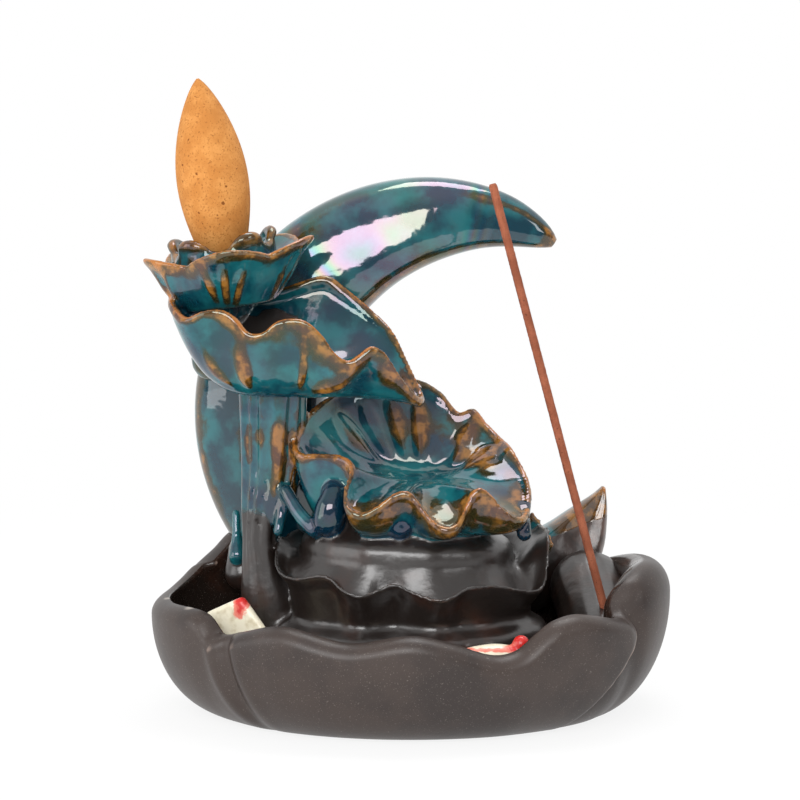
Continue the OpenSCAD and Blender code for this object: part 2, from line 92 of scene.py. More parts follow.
class LobeTable:
    """Values that change smoothly round a lobed form, given in a few directions."""

    def __init__(self, rows: Sequence[Sequence[float]]) -> None:
        """Keeps the rows with two more at each end, so that the table closes on itself.

        Args:
            rows: direction in degrees, then the values there.
        """
        table = np.array(rows, float)
        turn = np.zeros(table.shape[1])
        turn[0] = 360
        self.rows = np.vstack([table[-2:] - turn, table, table[:2] + turn])

    def at(self, angle: np.ndarray, column: int) -> np.ndarray:
        """Smooth value of one column.

        Args:
            angle: directions in degrees.
            column: which value of the row.

        Returns:
            One value for each direction.
        """
        way, value = self.rows[:, 0], self.rows[:, column]
        slope = np.gradient(value, way)
        slope[1:-1] = (value[2:] - value[:-2]) / (way[2:] - way[:-2])
        wrapped = np.mod(angle, 360)
        low = np.clip(np.searchsorted(way, wrapped, "right") - 1, 1, len(way) - 3)
        span = way[low + 1] - way[low]
        s = (wrapped - way[low]) / span
        return (
            (2 * s**3 - 3 * s**2 + 1) * value[low]
            + (s**3 - 2 * s**2 + s) * span * slope[low]
            + (3 * s**2 - 2 * s**3) * value[low + 1]
            + (s**3 - s**2) * span * slope[low + 1]
        )


def polar(angle: np.ndarray, reach: np.ndarray, height: np.ndarray) -> Ring:
    """Ring of points round the Z axis.

    Args:
        angle: directions in degrees.
        reach: radius in each direction.
        height: height in each direction.

    Returns:
        One point for each direction.
    """
    turn = np.radians(angle)
    return np.stack(
        [reach * np.cos(turn), reach * np.sin(turn), np.broadcast_to(height, angle.shape)], axis=1
    )


def leaned(ring: Ring, lean: float) -> Ring:
    """Points turned to the left about the Y axis.

    Args:
        ring: the points.
        lean: the turn in degrees.

    Returns:
        The turned points.
    """
    turn = math.radians(-lean)
    x, y, z = ring.T
    across, up = x * math.cos(turn) + z * math.sin(turn), z * math.cos(turn) - x * math.sin(turn)
    return np.stack([across, y, up], axis=1)


def oval(angle: np.ndarray, half_x: float, half_y: float) -> np.ndarray:
    """Radius of an oval in each direction, for its two half sizes."""
    turn = np.radians(angle)
    return half_x * half_y / np.hypot(half_y * np.cos(turn), half_x * np.sin(turn))


def turns(count: int) -> np.ndarray:
    """Even directions all the way round, in degrees."""
    return np.arange(count) * 360 / count


def bell(distance: np.ndarray, width: float) -> np.ndarray:
    """Smooth bump of height one with that half width."""
    return np.exp(-((distance / width) ** 2))


def ease(value: np.ndarray, low: float, high: float) -> np.ndarray:
    """Smooth step from zero at low to one at high."""
    share = np.clip((value - low) / (high - low), 0, 1)
    return share * share * (3 - 2 * share)


def away(angle: np.ndarray, direction: float) -> np.ndarray:
    """Signed distance of each direction from one direction, from -180 to 180."""
    return np.mod(angle - direction + 180, 360) - 180


def between(rings: Sequence[Ring], steps: int) -> list[Ring]:
    """Fills the space between rings with rings on a smooth curve through them.

    Args:
        rings: the rings that the form passes through.
        steps: how many parts each space is cut into.

    Returns:
        The given rings with the new ones between them.
    """
    made = []
    last = len(rings) - 1
    for i in range(last):
        before, start = rings[max(i - 1, 0)], rings[i]
        end, after = rings[i + 1], rings[min(i + 2, last)]
        for s in np.arange(steps) / steps:
            made.append(
                0.5
                * (
                    2 * start
                    + (end - before) * s
                    + (2 * before - 5 * start + 4 * end - after) * s**2
                    + (3 * start - before - 3 * end + after) * s**3
                )
            )
    return made + [rings[last]]


def deselect() -> None:
    """Leaves nothing selected, in object mode."""
    if bpy.context.object and bpy.context.object.mode != "OBJECT":
        bpy.ops.object.mode_set(mode="OBJECT")
    bpy.ops.object.select_all(action="DESELECT")


def choose(*pieces: Piece) -> None:
    """Selects some pieces alone and makes the first of them the active one.

    Args:
        pieces: the pieces.
    """
    deselect()
    for piece in pieces:
        piece.select_set(True)
    bpy.context.view_layer.objects.active = pieces[0]


def join(name: str, parts: Sequence[Piece]) -> Piece:
    """Makes one piece of several.

    Args:
        name: name of the joined piece.
        parts: the pieces, which may overlap.

    Returns:
        The joined piece.
    """
    choose(*parts)
    bpy.ops.object.join()
    piece = bpy.context.object
    piece.name = piece.data.name = name
    return piece


def close_ring() -> None:
    """Closes the selected open ring with a fan to its middle."""
    bpy.ops.mesh.extrude_edges_move()
    bpy.ops.mesh.merge(type="CENTER")


def loft(name: str, rings: Sequence[Ring]) -> Piece:
    """Models a closed skin: a circle that is extruded ring by ring and closed at both ends.

    Args:
        name: name of the new piece.
        rings: stacked rings with as many points each, in millimetres.

    Returns:
        The new piece, with its place in its mesh.
    """
    deselect()
    bpy.ops.mesh.primitive_circle_add(vertices=len(rings[0]), radius=MM, fill_type="NOTHING")
    piece = bpy.context.object
    piece.name = piece.data.name = name
    bpy.ops.object.mode_set(mode="EDIT")
    bpy.ops.mesh.select_mode(type="VERT")
    bpy.ops.mesh.select_all(action="SELECT")
    net = bmesh.from_edit_mesh(piece.data)
    order = net.verts.layers.int.new("order")
    for count, vert in enumerate(net.verts):
        vert[order] = count
        vert.co = rings[0][count] * MM
    for ring in rings[1:]:
        bpy.ops.mesh.extrude_edges_move()
        net = bmesh.from_edit_mesh(piece.data)
        order = net.verts.layers.int["order"]
        for vert in net.verts:
            if vert.select:
                vert.co = ring[vert[order]] * MM
    close_ring()
    bpy.ops.mesh.select_all(action="DESELECT")
    bpy.ops.mesh.select_non_manifold(
        extend=False, use_wire=False, use_multi_face=False, use_non_contiguous=False, use_verts=False
    )
    close_ring()
    bpy.ops.mesh.select_all(action="SELECT")
    bpy.ops.mesh.normals_make_consistent(inside=False)
    bpy.ops.object.mode_set(mode="OBJECT")
    piece.data.attributes.remove(piece.data.attributes["order"])
    bpy.ops.object.shade_smooth()
    return piece


def capsule(name: str, path: Sequence[Sequence[float]], radii: Sequence[float]) -> Piece:
    """Models a rounded run of clay or glaze along a path.

    Args:
        name: name of the new piece.
        path: places that the run passes through.
        radii: radius at each place.

    Returns:
        The new piece.
    """
    spots = np.vstack(between([np.array([p], float) for p in path], 6))
    thick = np.vstack(between([np.array([[r]], float) for r in radii], 6))[:, 0]
    forward = np.gradient(spots, axis=0)
    forward /= np.linalg.norm(forward, axis=1, keepdims=True)
    caps = [(math.sqrt(1 - wide * wide), wide) for wide in (0.15, 0.5, 0.8, 0.96)]
    stations = [(spots[0] - forward[0] * thick[0] * out, thick[0] * wide, forward[0]) for out, wide in caps]
    stations += list(zip(spots, thick, forward))
    end, way = forward[-1] * thick[-1], forward[-1]
    stations += [(spots[-1] + end * out, thick[-1] * wide, way) for out, wide in reversed(caps)]
    turn = np.radians(turns(16))
    side = np.cross(forward[0], [0.0, 1.0, 0.02])
    rings = []
    for place, size, way in stations:
        side = side - way * side.dot(way)
        side /= np.linalg.norm(side)
        other = np.cross(way, side)
        rings.append(place + size * (np.outer(np.cos(turn), side) + np.outer(np.sin(turn), other)))
    return loft(name, rings)


def ball(name: str, place: Sequence[float], radius: float) -> Piece:
    """Models a ball for a hull to go round.

    Args:
        name: name of the new piece.
        place: its middle.
        radius: its radius.

    Returns:
        The new piece.
    """
    deselect()
    bpy.ops.mesh.primitive_uv_sphere_add(
        segments=24, ring_count=16, radius=1, location=[c * MM for c in place], scale=[radius * MM] * 3
    )
    piece = bpy.context.object
    piece.name = piece.data.name = name
    bpy.ops.object.transform_apply(location=True, rotation=True, scale=True)
    return piece


def hull(name: str, balls: Sequence[tuple[Sequence[float], float]]) -> Piece:
    """Models the tight skin round several balls.

    Args:
        name: name of the new piece.
        balls: place and radius of each ball.

    Returns:
        The new piece.
    """
    piece = join(name, [ball(f"{name}_{n}", place, r) for n, (place, r) in enumerate(balls)])
    bpy.ops.object.mode_set(mode="EDIT")
    bpy.ops.mesh.select_all(action="SELECT")
    bpy.ops.mesh.convex_hull(join_triangles=False)
    bpy.ops.object.mode_set(mode="OBJECT")
    return piece


def apply(piece: Piece, kind: str, **settings: object) -> None:
    """Adds one modifier to a piece and applies it.

    Args:
        piece: the piece.
        kind: the modifier's type.
        settings: its settings by name.
    """
    choose(piece)
    modifier = piece.modifiers.new(kind.lower(), kind)
    for key, value in settings.items():
        setattr(modifier, key, value)
    bpy.ops.object.modifier_apply(modifier=modifier.name)


def tree_of(parts: Sequence[Piece]) -> BVHTree:
    """Search tree over the faces of several pieces.

    Args:
        parts: the pieces.

    Returns:
        The tree, in metres.
    """
    verts: list[Vector] = []
    faces: list[list[int]] = []
    for part in parts:
        first = len(verts)
        verts += [v.co.copy() for v in part.data.vertices]
        faces += [[first + i for i in face.vertices] for face in part.data.polygons]
    return BVHTree.FromPolygons(verts, faces)


def fuse(name: str, parts: Sequence[Piece], grain: float, relax: int) -> Piece:
    """Joins overlapping parts into one skin, as slip joins clay, and rounds the joints.

    Args:
        name: name of the joined piece.
        parts: closed parts that overlap.
        grain: size of the new skin's squares, in millimetres.
        relax: rounds of smoothing.

    Returns:
        The joined piece.
    """
    piece = join(name, parts)
    apply(piece, "REMESH", mode="VOXEL", voxel_size=grain * MM, adaptivity=0, use_smooth_shade=True)
    apply(piece, "SMOOTH", factor=0.5, iterations=relax)
    return piece


class Skin:
    """Numbers of one finished mesh, for painting values on its points."""

    def __init__(self, piece: Piece) -> None:
        """Reads the mesh once.

        Args:
            piece: the finished piece.
        """
        self.piece = piece
        mesh = piece.data
        self.count = len(mesh.vertices)
        flat = np.empty(self.count * 3, np.float32)
        mesh.vertices.foreach_get("co", flat)
        self.place = flat.reshape(-1, 3).astype(float) / MM
        mesh.vertices.foreach_get("normal", flat)
        self.normal = flat.reshape(-1, 3).astype(float)
        ends = np.empty(len(mesh.edges) * 2, np.int32)
        mesh.edges.foreach_get("vertices", ends)
        self.start, self.end = ends.reshape(-1, 2).T
        self.degree = np.bincount(ends, minlength=self.count).astype(float)

    def gather(self, values: np.ndarray) -> np.ndarray:
        """Looks at each point's neighbours.

        Args:
            values: one value for each point.

        Returns:
            The mean of the neighbours' values.
        """
        total = np.bincount(self.start, values[self.end], self.count)
        total += np.bincount(self.end, values[self.start], self.count)
        return total / self.degree

    def spread(self, values: np.ndarray, rounds: int) -> np.ndarray:
        """Smooths values over the mesh.

        Args:
            values: one value for each point.
            rounds: rounds of averaging with the neighbours.

        Returns:
            The smoothed values.
        """
        for _ in range(rounds):
            values = 0.5 * values + 0.5 * self.gather(values)
        return values

    def bend(self) -> np.ndarray:
        """Measures the outward bend.

        Returns:
            One over its radius in millimetres, at each point.
        """
        middle = np.stack([self.gather(self.place[:, axis]) for axis in range(3)], axis=1)
        rise = ((self.place - middle) * self.normal).sum(axis=1)
        steps = ((self.place[self.start] - self.place[self.end]) ** 2).sum(axis=1)
        span = np.bincount(self.start, steps, self.count) + np.bincount(self.end, steps, self.count)
        return 2 * rise / (span / self.degree)

    def near(self, tree: BVHTree) -> np.ndarray:
        """Distance of each point from the faces of a search tree, in millimetres."""
        return np.array([tree.find_nearest(Vector(p))[3] for p in self.place * MM]) / MM

    def gap(self, line: np.ndarray) -> np.ndarray:
        """Distance of each point from the nearest point of a line.

        Args:
            line: points along the line.

        Returns:
            Millimetres.
        """
        tree = KDTree(len(line))
        for count, spot in enumerate(line):
            tree.insert(spot, count)
        tree.balance()
        return np.array([tree.find(p)[2] for p in self.place])

    def nearest(self, spot: Sequence[float]) -> np.ndarray:
        """The mesh point that lies nearest to a place, as a line of one point."""
        return self.place[[np.argmin(((self.place - np.array(spot)) ** 2).sum(axis=1))]]

    def glow(self, spots: Sequence[Spot], width: float) -> np.ndarray:
        """Smooth bump of height one round each of some places, with that half width."""
        return bell(self.gap(np.array(spots)), width)

    def outwards(self, middle: Spot) -> np.ndarray:
        """How far each point faces away from an upright axis, from -1 to 1."""
        flat = (self.place - np.array(middle))[:, :2]
        return (flat * self.normal[:, :2]).sum(axis=1) / np.hypot(*flat.T)

    def way(self, middle: Spot) -> np.ndarray:
        """Direction of each point from an upright axis, in degrees."""
        flat = self.place - np.array(middle)
        return np.degrees(np.arctan2(flat[:, 1], flat[:, 0]))

    def cloud(self, size: float, shift: float = 0) -> np.ndarray:
        """Smooth random value at each point, from -1 to 1, in clouds of that size."""
        return np.array([noise.noise(Vector(p / size + shift)) for p in self.place])

    def paint(self, name: str, values: np.ndarray | float) -> None:
        """Stores values under a name that the materials read.

        Args:
            name: the attribute's name.
            values: one value for each point, or one for all of them.
        """
        layer = self.piece.data.attributes.new(name, "FLOAT", "POINT")
        layer.data.foreach_set("value", np.broadcast_to(values, self.count).astype(np.float32))


def glaze_edges(skin: Skin, forms: Sequence["Leaf | Lotus | SidePetal"]) -> np.ndarray:
    """Finds where glaze breaks: amber at a rim, gold and olive below it and on raised veins.

    Args:
        skin: the finished mesh.
        forms: the leaves and flowers in it.

    Returns:
        How far the glaze has run off at each point, from 0 to about 1.5.
    """
    bend = skin.bend()
    edge = np.clip(0.25 * skin.spread(bend, 4) + 0.5 * skin.spread(bend, 30), -0.1, 0.42)
    clouds, patches = skin.cloud(7), skin.cloud(4, 9)
    for form in forms:
        gap = skin.gap(form.rim_line())
        width = (1.4 + form.spill(skin)) * (1 + 0.7 * clouds)
        band = 0.85 * np.exp(-gap / 0.5) + (0.4 + 0.14 * patches) * ease(gap, 1.25 * width, 0.3 * width)
        edge = np.maximum(edge, band) + form.veined(skin)
    return edge


class Wiring:
    """Adds nodes to one empty tree and links them."""

    def __init__(self, tree: bpy.types.NodeTree) -> None:
        """Empties the tree."""
        self.tree = tree
        tree.nodes.clear()

    def fill(self, socket: Socket, value: object) -> None:
        """Gives an input a value, or links it where the value is a socket.

        Args:
            socket: the input.
            value: number, colour or socket.
        """
        if isinstance(value, Socket):
            self.tree.links.new(value, socket)
        else:
            socket.default_value = value

    def node(self, kind: str, *first: object, **named: object) -> bpy.types.Node:
        """Adds a node and fills its inputs.

        Args:
            kind: the node's type, without the word that all types begin with.
            first: values of its first inputs.
            named: inputs by name, with spaces written as underscores.

        Returns:
            The new node.
        """
        made = self.tree.nodes.new(f"ShaderNode{kind}")
        for socket, value in zip(made.inputs, first):
            self.fill(socket, value)
        for key, value in named.items():
            self.fill(made.inputs[key.replace("_", " ")], value)
        return made

    def math(self, how: str, *values: object) -> Socket:
        """Arithmetic on two or three values.

        Args:
            how: the operation.
            values: numbers or sockets.

        Returns:
            The result.
        """
        made = self.node("Math", *values)
        made.operation = how
        return made.outputs[0]

    def span(self, value: Socket, low: float, high: float) -> Socket:
        """Smooth step of a value.

        Args:
            value: the value.
            low: where the step is 0.
            high: where it is 1.

        Returns:
            The step.
        """
        made = self.node("MapRange", Value=value, From_Min=low, From_Max=high)
        made.interpolation_type = "SMOOTHSTEP"
        return made.outputs["Result"]


class Recipe(Wiring):
    """Wires the nodes of one material."""

    def __init__(self, name: str) -> None:
        """Starts an empty material.

        Args:
            name: name of the material.
        """
        self.material = bpy.data.materials.new(name)
        self.material.use_nodes = True
        super().__init__(self.material.node_tree)
        self.output = self.node("OutputMaterial")
        self.place = self.node("TexCoord").outputs["Object"]

    def attribute(self, name: str) -> Socket:
        """Value that was painted on the mesh.

        Args:
            name: the name that it was painted under.

        Returns:
            The value.
        """
        made = self.node("Attribute")
        made.attribute_name = name
        return made.outputs["Fac"]

    def noise(self, scale: float, detail: float = 4, rough: float = 0.55) -> Socket:
        """Cloudy value from 0 to 1.

        Args:
            scale: clouds for each metre.
            detail: finer layers.
            rough: strength of the finer layers.

        Returns:
            The value.
        """
        made = self.node("TexNoise", Vector=self.place, Scale=scale, Detail=detail, Roughness=rough)
        return made.outputs["Fac"]

    def mix(self, share: object, first: object, second: object) -> Socket:
        """Mix of two colours.

        Args:
            share: how much of the second one, from 0 to 1.
            first: the first colour.
            second: the second colour.

        Returns:
            The mixed colour.
        """
        made = self.node("Mix")
        made.data_type = "RGBA"
        for key, value in ((0, share), (6, first), (7, second)):
            self.fill(made.inputs[key], value)
        return made.outputs[2]

    def bump(self, height: Socket, strength: float, distance: float) -> Socket:
        """Bumped normal.

        Args:
            height: height value.
            strength: share of the effect.
            distance: height of the bumps in millimetres.

        Returns:
            The normal.
        """
        made = self.node("Bump", Height=height, Strength=strength, Distance=distance * MM)
        return made.outputs["Normal"]

    def finish(self, **inputs: object) -> Finish:
        """Ends the material with its surface.

        Args:
            inputs: inputs of the surface by name, with spaces written as underscores.

        Returns:
            The material.
        """
        self.fill(self.output.inputs["Surface"], self.node("BsdfPrincipled", **inputs).outputs["BSDF"])
        return self.material


@dataclass(frozen=True)
class ReactiveGlaze:
    """Gloss glaze that pools teal, turns olive where it thins and breaks amber on edges.

    Its film is its thin film's index, which grows from film_least by up to film_more nanometres. The
    roughness is gloss on the bright glaze, and satin more on the dark one.
    """

    teal: Colour = srgb(24, 96, 102)
    deep: Colour = srgb(7, 50, 64)
    blue: Colour = srgb(6, 38, 56)
    olive: Colour = srgb(44, 42, 22)
    brown: Colour = srgb(76, 50, 20)
    gold: Colour = srgb(142, 96, 40)
    amber: Colour = srgb(168, 102, 40)
    clay: Colour = srgb(33, 26, 23)
    warm: Colour = srgb(50, 30, 22)
    worn: Colour = srgb(132, 96, 80)
    film: float = 1.7
    ior: float = 1.75
    gloss: float = 0.07
    satin: float = 0.24
    film_least: float = 160
    film_more: float = 520

    def make(self, name: str) -> Finish:
        """Builds the material, which also turns to the dark glaze where "dark" is painted.

        Args:
            name: its name.

        Returns:
            The material.
        """
        r = Recipe(name)
        wander = r.math("SUBTRACT", r.noise(170, 5), 0.5)
        edge = r.math("MULTIPLY_ADD", wander, 0.8, r.attribute("edge"))
        body = r.mix(r.span(r.noise(120, 4), 0.38, 0.64), self.deep, self.teal)
        body = r.mix(r.attribute("pool"), body, self.blue)
        gold = r.mix(r.span(r.noise(480, 4), 0.42, 0.62), self.brown, self.gold)
        broken = r.mix(r.span(edge, 0.28, 0.5), self.olive, gold)
        broken = r.mix(r.span(edge, 0.72, 1.0), broken, self.amber)
        glaze = r.mix(r.span(edge, 0.12, 0.28), body, broken)
        bare = r.mix(r.span(r.noise(110, 3), 0.5, 0.72), self.clay, self.warm)
        ridge = r.math("MULTIPLY", r.span(edge, 0.42, 0.75), 0.6)
        bare = r.mix(ridge, bare, self.worn)
        dark = r.span(r.math("MULTIPLY_ADD", wander, 0.5, r.attribute("dark")), 0.42, 0.58)
        bright = r.math("SUBTRACT", 1.0, dark)
        shimmer = r.math("MULTIPLY_ADD", r.noise(45, 2), self.film_more, self.film_least)
        film = r.math("MULTIPLY", r.math("MULTIPLY", bright, r.attribute("film")), shimmer)
        ripple = r.math("MULTIPLY_ADD", r.math("MULTIPLY", dark, 1.1), r.noise(330, 3), r.noise(240, 2))
        return r.finish(
            Base_Color=r.mix(dark, glaze, bare),
            Roughness=r.math("MULTIPLY_ADD", dark, self.satin, self.gloss),
            IOR=self.ior,
            Thin_Film_Thickness=film,
            Thin_Film_IOR=self.film,
            Normal=r.bump(ripple, 0.36, 0.27),
        )


@dataclass(frozen=True)
class DarkGlaze:
    """Brown black glaze, satin with pale specks outside the dish and glossy inside it.

    Its roughness outside is rough, and inside it is less by smoother.
    """

    satin: Colour = srgb(58, 47, 42)
    clouded: Colour = srgb(46, 37, 34)
    gloss: Colour = srgb(38, 30, 26)
    warm: Colour = srgb(56, 34, 25)
    speck: Colour = srgb(168, 158, 148)
    worn: Colour = srgb(150, 128, 116)
    rough: float = 0.42
    smoother: float = 0.25

    def make(self, name: str) -> Finish:
        """Builds the material.

        Args:
            name: its name.

        Returns:
            The material.
        """
        r = Recipe(name)
        inside = r.attribute("inside")
        gloss = r.mix(r.span(r.noise(90, 4), 0.48, 0.72), self.gloss, self.warm)
        satin = r.mix(r.span(r.noise(70, 3), 0.4, 0.65), self.satin, self.clouded)
        body = r.mix(inside, satin, gloss)
        grit = r.math("ADD", r.span(r.noise(4200, 1), 0.66, 0.74), r.span(r.noise(1900, 1), 0.73, 0.77))
        body = r.mix(r.math("MULTIPLY", grit, 0.22), body, self.speck)
        # Pale rim colour where edge is painted: partly glaze worn thin on the rim, partly painted highlight
        # on the rim and along the fold.
        rim = r.math("MULTIPLY", r.span(r.attribute("edge"), 0.35, 0.9), 0.75)
        body = r.mix(rim, body, self.worn)
        return r.finish(
            Base_Color=r.mix(r.attribute("chip"), body, self.speck),
            Roughness=r.math("MULTIPLY_ADD", inside, -self.smoother, self.rough),
            IOR=1.5,
            Normal=r.bump(r.noise(600, 4), 0.3, 0.14),
        )


@dataclass(frozen=True)
class PressedPowder:
    """Pressed wood powder: sandy, matt and full of fine dark pores."""

    light: Colour = srgb(206, 143, 77)
    tan: Colour = srgb(186, 121, 58)
    pore: Colour = srgb(126, 72, 30)
    grain: float = 2400

    def make(self, name: str) -> Finish:
        """Builds the material.

        Args:
            name: its name.

        Returns:
            The material.
        """
        r = Recipe(name)
        sand = r.noise(self.grain, 2, 0.7)
        body = r.mix(r.span(r.noise(260, 3), 0.35, 0.7), self.tan, self.light)
        body = r.mix(r.math("MULTIPLY", r.span(sand, 0.46, 0.64), 0.5), body, self.tan)
        body = r.mix(r.math("MULTIPLY", r.span(sand, 0.58, 0.7), 0.7), body, self.pore)
        pits = r.span(r.noise(self.grain * 0.5, 0), 0.8, 0.83)
        return r.finish(
            Base_Color=r.mix(pits, body, self.pore),
            Roughness=0.92,
            IOR=1.35,
            Normal=r.bump(sand, 0.45, 0.2),
        )


@dataclass(frozen=True)
class KoiPaint:
    """Cream glazed clay with red brush marks at painted places."""

    cream: Colour = srgb(238, 230, 206)
    shade: Colour = srgb(212, 200, 168)
    red: Colour = srgb(206, 40, 36)
    pink: Colour = srgb(232, 128, 110)

    def make(self, name: str) -> Finish:
        """Builds the material.

        Args:
            name: its name.

        Returns:
            The material.
        """
        r = Recipe(name)
        body = r.mix(r.span(r.noise(500, 4), 0.45, 0.75), self.cream, self.shade)
        brush = r.math("SUBTRACT", r.noise(900, 4), 0.5)
        mark = r.math("MULTIPLY_ADD", brush, 0.6, r.attribute("mark"))
        paint = r.mix(r.span(mark, 0.5, 0.75), self.pink, self.red)
        return r.finish(
            Base_Color=r.mix(r.span(mark, 0.3, 0.45), body, paint),
            Roughness=0.3,
            IOR=1.5,
            Normal=r.bump(r.noise(900, 3), 0.2, 0.1),
        )


def settle(piece: Piece, material: Finish, slot: Slot, *nodes: str) -> None:
    """Gives a finished piece its material, its body and the node that it stands for.

    Args:
        piece: the finished piece.
        material: its finish.
        slot: the record's slot of that finish; not used.
        nodes: the nodes that it stands for.
    """
    piece.data.materials.clear()
    piece.data.materials.append(material)
    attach(piece, ROOT)
    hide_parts(*nodes)
    log.info("%s: %d triangles", piece.name, sum(len(face.vertices) - 2 for face in piece.data.polygons))


# Each row: direction, reach past the oval, rise of the rim, extra wall, extra reach of the inner slope.
DISH_RIM = LobeTable([
    [0, 0.6, 9.4, 7.2, 11], [14, 0.4, 8.4, 6, 10], [32, -0.6, 4.5, 1.6, 6], [48, -2.4, 2.5, 0, 1],
    [68, 0.4, 4.5, 0, 0], [92, 0.2, 5.5, 0, 0], [114, -0.6, 4.5, 0, 0], [132, -2, 8, 0, 0],
    [147, -2.6, 12.2, 0, 0], [153.5, -2, 8.9, 0.3, 0], [159.5, -1.2, 6.1, 0.6, 0],
    [165, -0.8, 3.7, 0.3, 0], [172, -0.4, 2.2, 0, 0], [190, 0.2, 2.1, 0, 0], [204, -0.4, 2.6, 0, 0],
    [208.5, -1, 1.7, 0, 0], [212, -1.6, -1.3, 0, 0], [219, -0.8, -0.4, 0, 0], [229, 0.3, 1.6, 0, 0],
    [235, 0.6, 2, 0, 0], [252, -0.2, -0.6, 0, 0], [270, 0.2, 1.1, 0, 0], [281, -0.2, -0.3, 0, 0],
    [294, -0.8, -3.2, 0, 0], [301, -0.6, -2.7, 0, 0], [307, -0.2, 0.6, 0, 0], [311, 0.1, 2.6, 0, 0],
    [317, 0.4, 3.6, 0, 1], [323.5, 0.5, 2.8, 0, 3], [332, -0.2, 1.3, 0, 6], [335, -1, 1.6, 2, 8],
    [338, -1.2, 4.6, 5, 10], [342, -0.2, 7.6, 6.6, 11], [350, 0.3, 9.6, 7.4, 11.5],
])


@dataclass
class Dish:
    """The lobed leaf dish: foot ring, outer wall with its petal folds, rim and basin."""

    width: float = 105
    depth: float = 82
    height: float = 21
    wall: float = 4
    foot_width: float = 76
    foot_ring: float = 6
    recess: float = 2
    crisp: float = 0.86
    pillow: float = 0.72
    inner_reach: float = 5
    chips: Path = ((-48.7, -4.5, 24), (-43.4, -17.6, 23))
    points: int = 480

    def fold(self, angle: np.ndarray, rise: float) -> np.ndarray:
        """Reach that the petal folds add to the outer wall.

        Args:
            angle: directions in degrees.
            rise: share of the way from the foot to the rim.

        Returns:
            Millimetres outwards.
        """
        right = away(angle, 336 - 15 * (1 - rise))
        passed = ease(right, -1.2, 1.2)
        front, behind = np.exp(np.minimum(right, 0) / 7), np.exp(-np.maximum(right, 0) / 7)
        step = 0.9 * (1 - passed) * front - 2.4 * passed * behind
        left = away(angle, 217 + 5 * (1 - rise))
        groove = 0.8 * bell(left + 4, 2.4) - 1.8 * bell(left, 2.2) + 0.5 * bell(left - 5, 2.4)
        return rise**0.5 * (step + groove)

    def crease(self, angle: np.ndarray, depth: float) -> np.ndarray:
        """Thickness that the overlapping petal adds inside the left of the basin.

        Args:
            angle: directions in degrees.
            depth: share of the way from the rim to the floor.

        Returns:
            Millimetres inwards.
        """
        behind = away(angle, 160 - 14 * depth)
        rise = 1.8 * np.exp(np.minimum(behind, 0) / 14) * ease(behind, 0.8, -0.8)
        return rise * max(1 - depth, 0) ** 0.3

    def rings(self) -> tuple[list[Ring], int]:
        """Lays out the dish.

        Returns:
            Rings from the recess over the rim to the basin floor, and how many are outside.
        """
        a = turns(self.points)
        rim_r = oval(a, self.width / 2, self.depth / 2) + DISH_RIM.at(a, 1)
        rim_z = self.height + DISH_RIM.at(a, 2)
        wall = self.wall + self.pillow * DISH_RIM.at(a, 3)
        thick = ease(wall, 5, 9)
        top = self.crisp - 0.34 * thick
        drop, lip = (0.8 - 0.1 * thick) * wall, (0.2 + 0.25 * thick) * wall
        slope = self.inner_reach + self.pillow * DISH_RIM.at(a, 4)
        half = self.foot_width / 2
        foot = oval(a, half, half * self.depth / self.width)
        made = [polar(a, foot - self.foot_ring - 0.3, self.recess)]
        made += [polar(a, foot - self.foot_ring, h) for h in (self.recess - 0.3, 0.4)]
        made += [polar(a, foot - self.foot_ring + 0.4, 0), polar(a, foot - 1, 0)]
        for t in np.linspace(3, 90, 36):
            high = 1 - math.cos(math.radians(t))
            reach = foot + (rim_r - foot) * math.sin(math.radians(t)) + self.fold(a, high)
            made.append(polar(a, reach, (rim_z - drop) * high))
        inner = rim_r - wall - self.crease(a, 0)
        for f in np.linspace(8, 168, 21):
            outer, turn = f <= 88, math.radians(f)
            across = top * (1 - math.cos(turn)) if outer else top - (1 - top) * math.cos(turn)
            reach = (rim_r + self.fold(a, 1)) * (1 - across) + inner * across
            made.append(polar(a, reach, rim_z - (drop if outer else lip) * (1 - math.sin(turn))))
        outside = len(made) - 10
        for t in np.linspace(0, 90, 20):
            down = 1 - math.sin(math.radians(t))
            out = 1 - math.cos(math.radians(t))
            reach = rim_r - wall - self.crease(a, 1 - down) - slope * out
            made.append(polar(a, reach, BASIN + (rim_z - lip - BASIN) * down))
        made += [polar(a, (rim_r - wall - slope) * f, BASIN) for f in (0.75, 0.5, 0.2)]
        return made, outside

    def crease_line(self, skin: Skin) -> np.ndarray:
        """Finds the edge of the petal that overlaps at the left of the basin.

        Args:
            skin: the dish's mesh.

        Returns:
            Points along that edge.
        """
        share = np.linspace(0, 1, 9)
        turn, reach, high = np.radians(156 - 9.5 * share), 46.9 - 2.2 * share, 26 - 9 * share
        spots = zip(reach * np.cos(turn), reach * self.depth / self.width * np.sin(turn), high)
        return np.vstack(between([skin.nearest(spot) for spot in spots], 8))

    def build(self, material: Finish) -> None:
        """Models and paints the dish.

        Args:
            material: the dark glaze.
        """
        rings, outside = self.rings()
        dish = loft("dish", rings)
        skin = Skin(dish)
        order = np.arange(skin.count) // self.points
        skin.paint("inside", ease(skin.spread((order > outside).astype(float), 2), 0.1, 0.9))
        # Painted highlight and wear in edge: the pale line on the sharp rim is partly glaze worn thin and
        # partly painted highlight, and the pale line along the fold is painted highlight.
        crease = 0.8 * bell(skin.gap(self.crease_line(skin)), 0.45)
        skin.paint("edge", np.clip(3 * (skin.spread(skin.bend(), 1) - 0.14) + crease, 0, 1))
        skin.paint("chip", ease(sum(skin.glow(skin.nearest(chip), 1.2) for chip in self.chips), 0.35, 0.6))
        settle(dish, material, Slot.CLAY, BODY_NODE)


